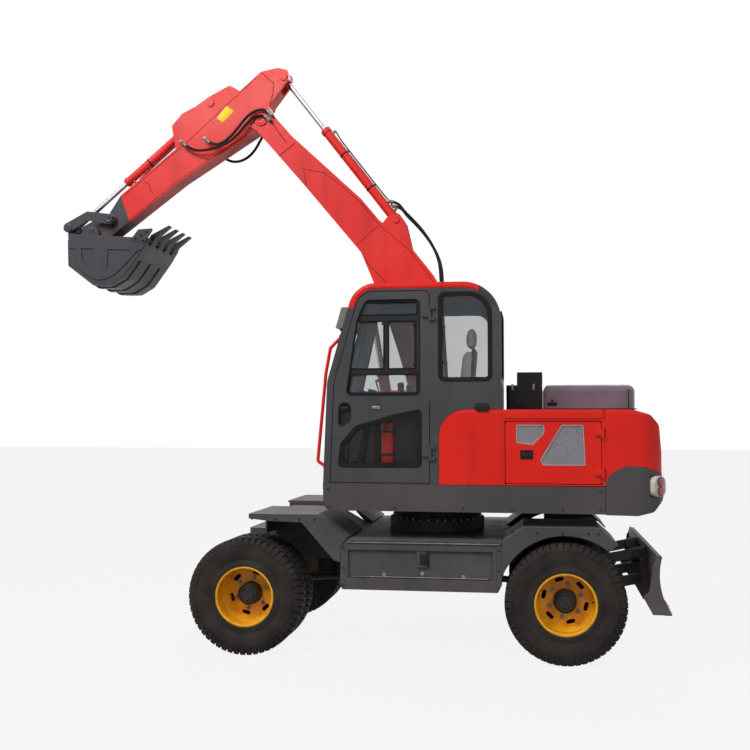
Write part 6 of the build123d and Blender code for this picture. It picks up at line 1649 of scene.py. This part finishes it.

# Engine bay: fan and shroud, filters, pipes and a muffler
work = bmesh.new()
add_disc(work, 1362, -60, 1610, (1, 0, 0), [(0, 235), (0, 250), (40, 255), (44, 250), (44, 235), (0, 235)], 48)
for k in range(7):
    spin = Matrix.Rotation(2 * math.pi * k / 7, 3, "X")
    blade_points = [Vector((1372, 45, -28)), Vector((1372, 215, -48)), Vector((1394, 222, 40)), Vector((1390, 45, 24))]
    top = [work.verts.new((spin @ p + Vector((0, -60, 1610))) / 1000) for p in blade_points]
    low = [work.verts.new((spin @ (p + Vector((4, 0, 0))) + Vector((0, -60, 1610))) / 1000) for p in blade_points]
    work.faces.new(top)
    work.faces.new(list(reversed(low)))
    for j in range(4):
        work.faces.new([top[j], low[j], low[(j + 1) % 4], top[(j + 1) % 4]])
add_disc(work, 1362, -60, 1610, (1, 0, 0), [(0, 55), (34, 55), (38, 40), (38, 0)], 24)
finished("engine_fan", work, "upper", "black_plastic", black_plastic)
work = bmesh.new()
for x, y, z, radius in ((900, -575, 1470, 46), (1180, -578, 1450, 40)):
    add_disc(work, x, y, z, (0, 0, -1), [(-14, 20), (0, radius), (6, radius + 2), (100, radius), (112, radius - 8),
                                         (112, 0)], 28)
finished("engine_filters", work, "upper", "black_plastic", black_plastic)
work = bmesh.new()
for k, (x, z) in enumerate(((860, 1700), (860, 1820), (1010, 1700), (1160, 1700), (1310, 1700))):
    add_block(work, mm(x - 34, -572, z - 8), mm(x + 34, -556, z + 46), 0.006)
    add_disc(work, x, -572, z + 19, (0, -1, 0), [(0, 17), (10, 15), (12, 10), (12, 0)], 20)
add_disc(work, 900, -330, 1880, (1, 0, 0), [(0, 60), (6, 76), (300, 76), (312, 60), (312, 0)], 32)
finished("engine_covers", work, "upper", "cast_axle", cast_engine)
tubes("engine_pipes", [([(900, -574, 1520), (905, -640, 1600), (980, -650, 1700), (1000, -590, 1850),
                         (1060, -480, 1900)], 14),
                       ([(1180, -578, 1470), (1240, -640, 1500), (1330, -640, 1600), (1340, -590, 1780)], 11),
                       ([(820, -566, 1400), (900, -600, 1380), (1100, -610, 1375), (1300, -590, 1400)], 8)],
      "upper", hose_rubber, resolution=10, ring=3)

# Axles: covers, cover bolts and brake hoses
axle_bolts = []
for x, box in ((-1505, "front_axle"), (1120, "rear_axle")):
    low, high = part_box(box)
    side_x = -1 if x < 0 else 1
    face = low.x if x < 0 else high.x
    for k in range(8):
        a = 2 * math.pi * k / 8 + 0.3
        axle_bolts.append((face * 1000 - side_x * 4, 92 * math.cos(a), AXLE_Z + 92 * math.sin(a), (side_x, 0, 0), 16))
work = bmesh.new()
for x, side in ((-1505, -1), (1120, 1)):
    face = (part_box("front_axle")[0].x if x < 0 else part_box("rear_axle")[1].x) * 1000
    add_disc(work, face - side * 12, 0, AXLE_Z, (side, 0, 0), [(0, 112), (10, 110), (12, 60), (12, 0)], 32)
finished("axle_covers", work, "chassis", "cast_axle", axle_iron)
bolts("axle_cover_bolts", axle_bolts, "chassis", axle_iron)
tubes("brake_hoses", [([(x, side * 250, 610), (x + 40, side * 330, 650), (x + 60, side * 420, 640),
                        (x + 20, side * 490, 590)], 7)
                      for x in (-1470, 1150) for side in (-1, 1)], "chassis", hose_rubber)

# Stage, light and camera
def seen_rays(tree, ray):
    """1 for camera, mirror and glass rays, so that all of them meet the plain background."""
    total = ray.outputs["Is Camera Ray"]
    for name in ("Is Glossy Ray", "Is Transmission Ray"):
        adding = tree.nodes.new("ShaderNodeMath")
        adding.operation = "MAXIMUM"
        tree.links.new(total, adding.inputs[0])
        tree.links.new(ray.outputs[name], adding.inputs[1])
        total = adding.outputs[0]
    return total


work = bmesh.new()
bmesh.ops.create_grid(work, x_segments=1, y_segments=1, size=60)
floor = settle("floor", to_mesh("floor", work), None)
floor_finish = bpy.data.materials.new("floor_white")
floor_finish.use_nodes = True
tree = floor_finish.node_tree
tree.nodes.clear()
ray, out = tree.nodes.new("ShaderNodeLightPath"), tree.nodes.new("ShaderNodeOutputMaterial")
lit, plain, mixed = (tree.nodes.new(kind) for kind in ("ShaderNodeBsdfDiffuse", "ShaderNodeEmission",
                                                       "ShaderNodeMixShader"))
lit.inputs["Color"].default_value = (0.26, 0.26, 0.26, 1)
share = tree.nodes.new("ShaderNodeMath")
share.operation = "MULTIPLY"
share.inputs[1].default_value = 0.88
tree.links.new(seen_rays(tree, ray), share.inputs[0])
tree.links.new(share.outputs[0], mixed.inputs[0])
tree.links.new(lit.outputs[0], mixed.inputs[1])
tree.links.new(plain.outputs[0], mixed.inputs[2])
tree.links.new(mixed.outputs[0], out.inputs["Surface"])
floor.data.materials.append(floor_finish)

world = bpy.data.worlds.new("studio")
bpy.context.scene.world = world
world.use_nodes = True
tree = world.node_tree
tree.nodes.clear()
out, mixed, ray = (tree.nodes.new(kind) for kind in ("ShaderNodeOutputWorld", "ShaderNodeMixShader",
                                                     "ShaderNodeLightPath"))
soft, white = tree.nodes.new("ShaderNodeBackground"), tree.nodes.new("ShaderNodeBackground")
soft.inputs["Color"].default_value = (0.92, 0.95, 1.0, 1)
soft.inputs["Strength"].default_value = 0.42
white.inputs["Color"].default_value = (1, 1, 1, 1)
white.inputs["Strength"].default_value = 1.0
tree.links.new(seen_rays(tree, ray), mixed.inputs[0])
tree.links.new(soft.outputs[0], mixed.inputs[1])
tree.links.new(white.outputs[0], mixed.inputs[2])
tree.links.new(mixed.outputs[0], out.inputs["Surface"])


def lamp(name, place, aim, size, watts, colour=(1, 1, 1)):
    """A soft square lamp aimed at a point."""
    light = bpy.data.lights.new(name, "AREA")
    light.size = size
    light.energy = watts
    light.color = colour
    holder = bpy.data.objects.new(name, light)
    holder.location = place
    holder.rotation_euler = (Vector(aim) - Vector(place)).to_track_quat("-Z", "Y").to_euler()
    collection.objects.link(holder)


lamp("high_key", (-5.0, -7.5, 9.5), (0, 0, 1.6), 5.0, 1000, (1.0, 0.98, 0.95))
lamp("side_fill", (5.5, -8.0, 7.0), (0.5, 0, 1.5), 5.0, 170, (0.95, 0.97, 1.0))
lamp("back_rim", (2.0, 7.0, 9.5), (0, 0, 2.0), 5.0, 420)

camera = bpy.data.cameras.new("camera")
camera.lens = 49.2
camera.sensor_width = 36
holder = bpy.data.objects.new("camera", camera)
holder.location = (0.85, -9.45, 1.95)
yaw, pitch = math.radians(8.6), math.radians(2.51)
ahead = Vector((-math.sin(yaw) * math.cos(pitch), math.cos(yaw) * math.cos(pitch), math.sin(pitch)))
holder.rotation_euler = ahead.to_track_quat("-Z", "Y").to_euler()
collection.objects.link(holder)
bpy.context.scene.camera = holder
bpy.context.scene.view_settings.view_transform = "Standard"
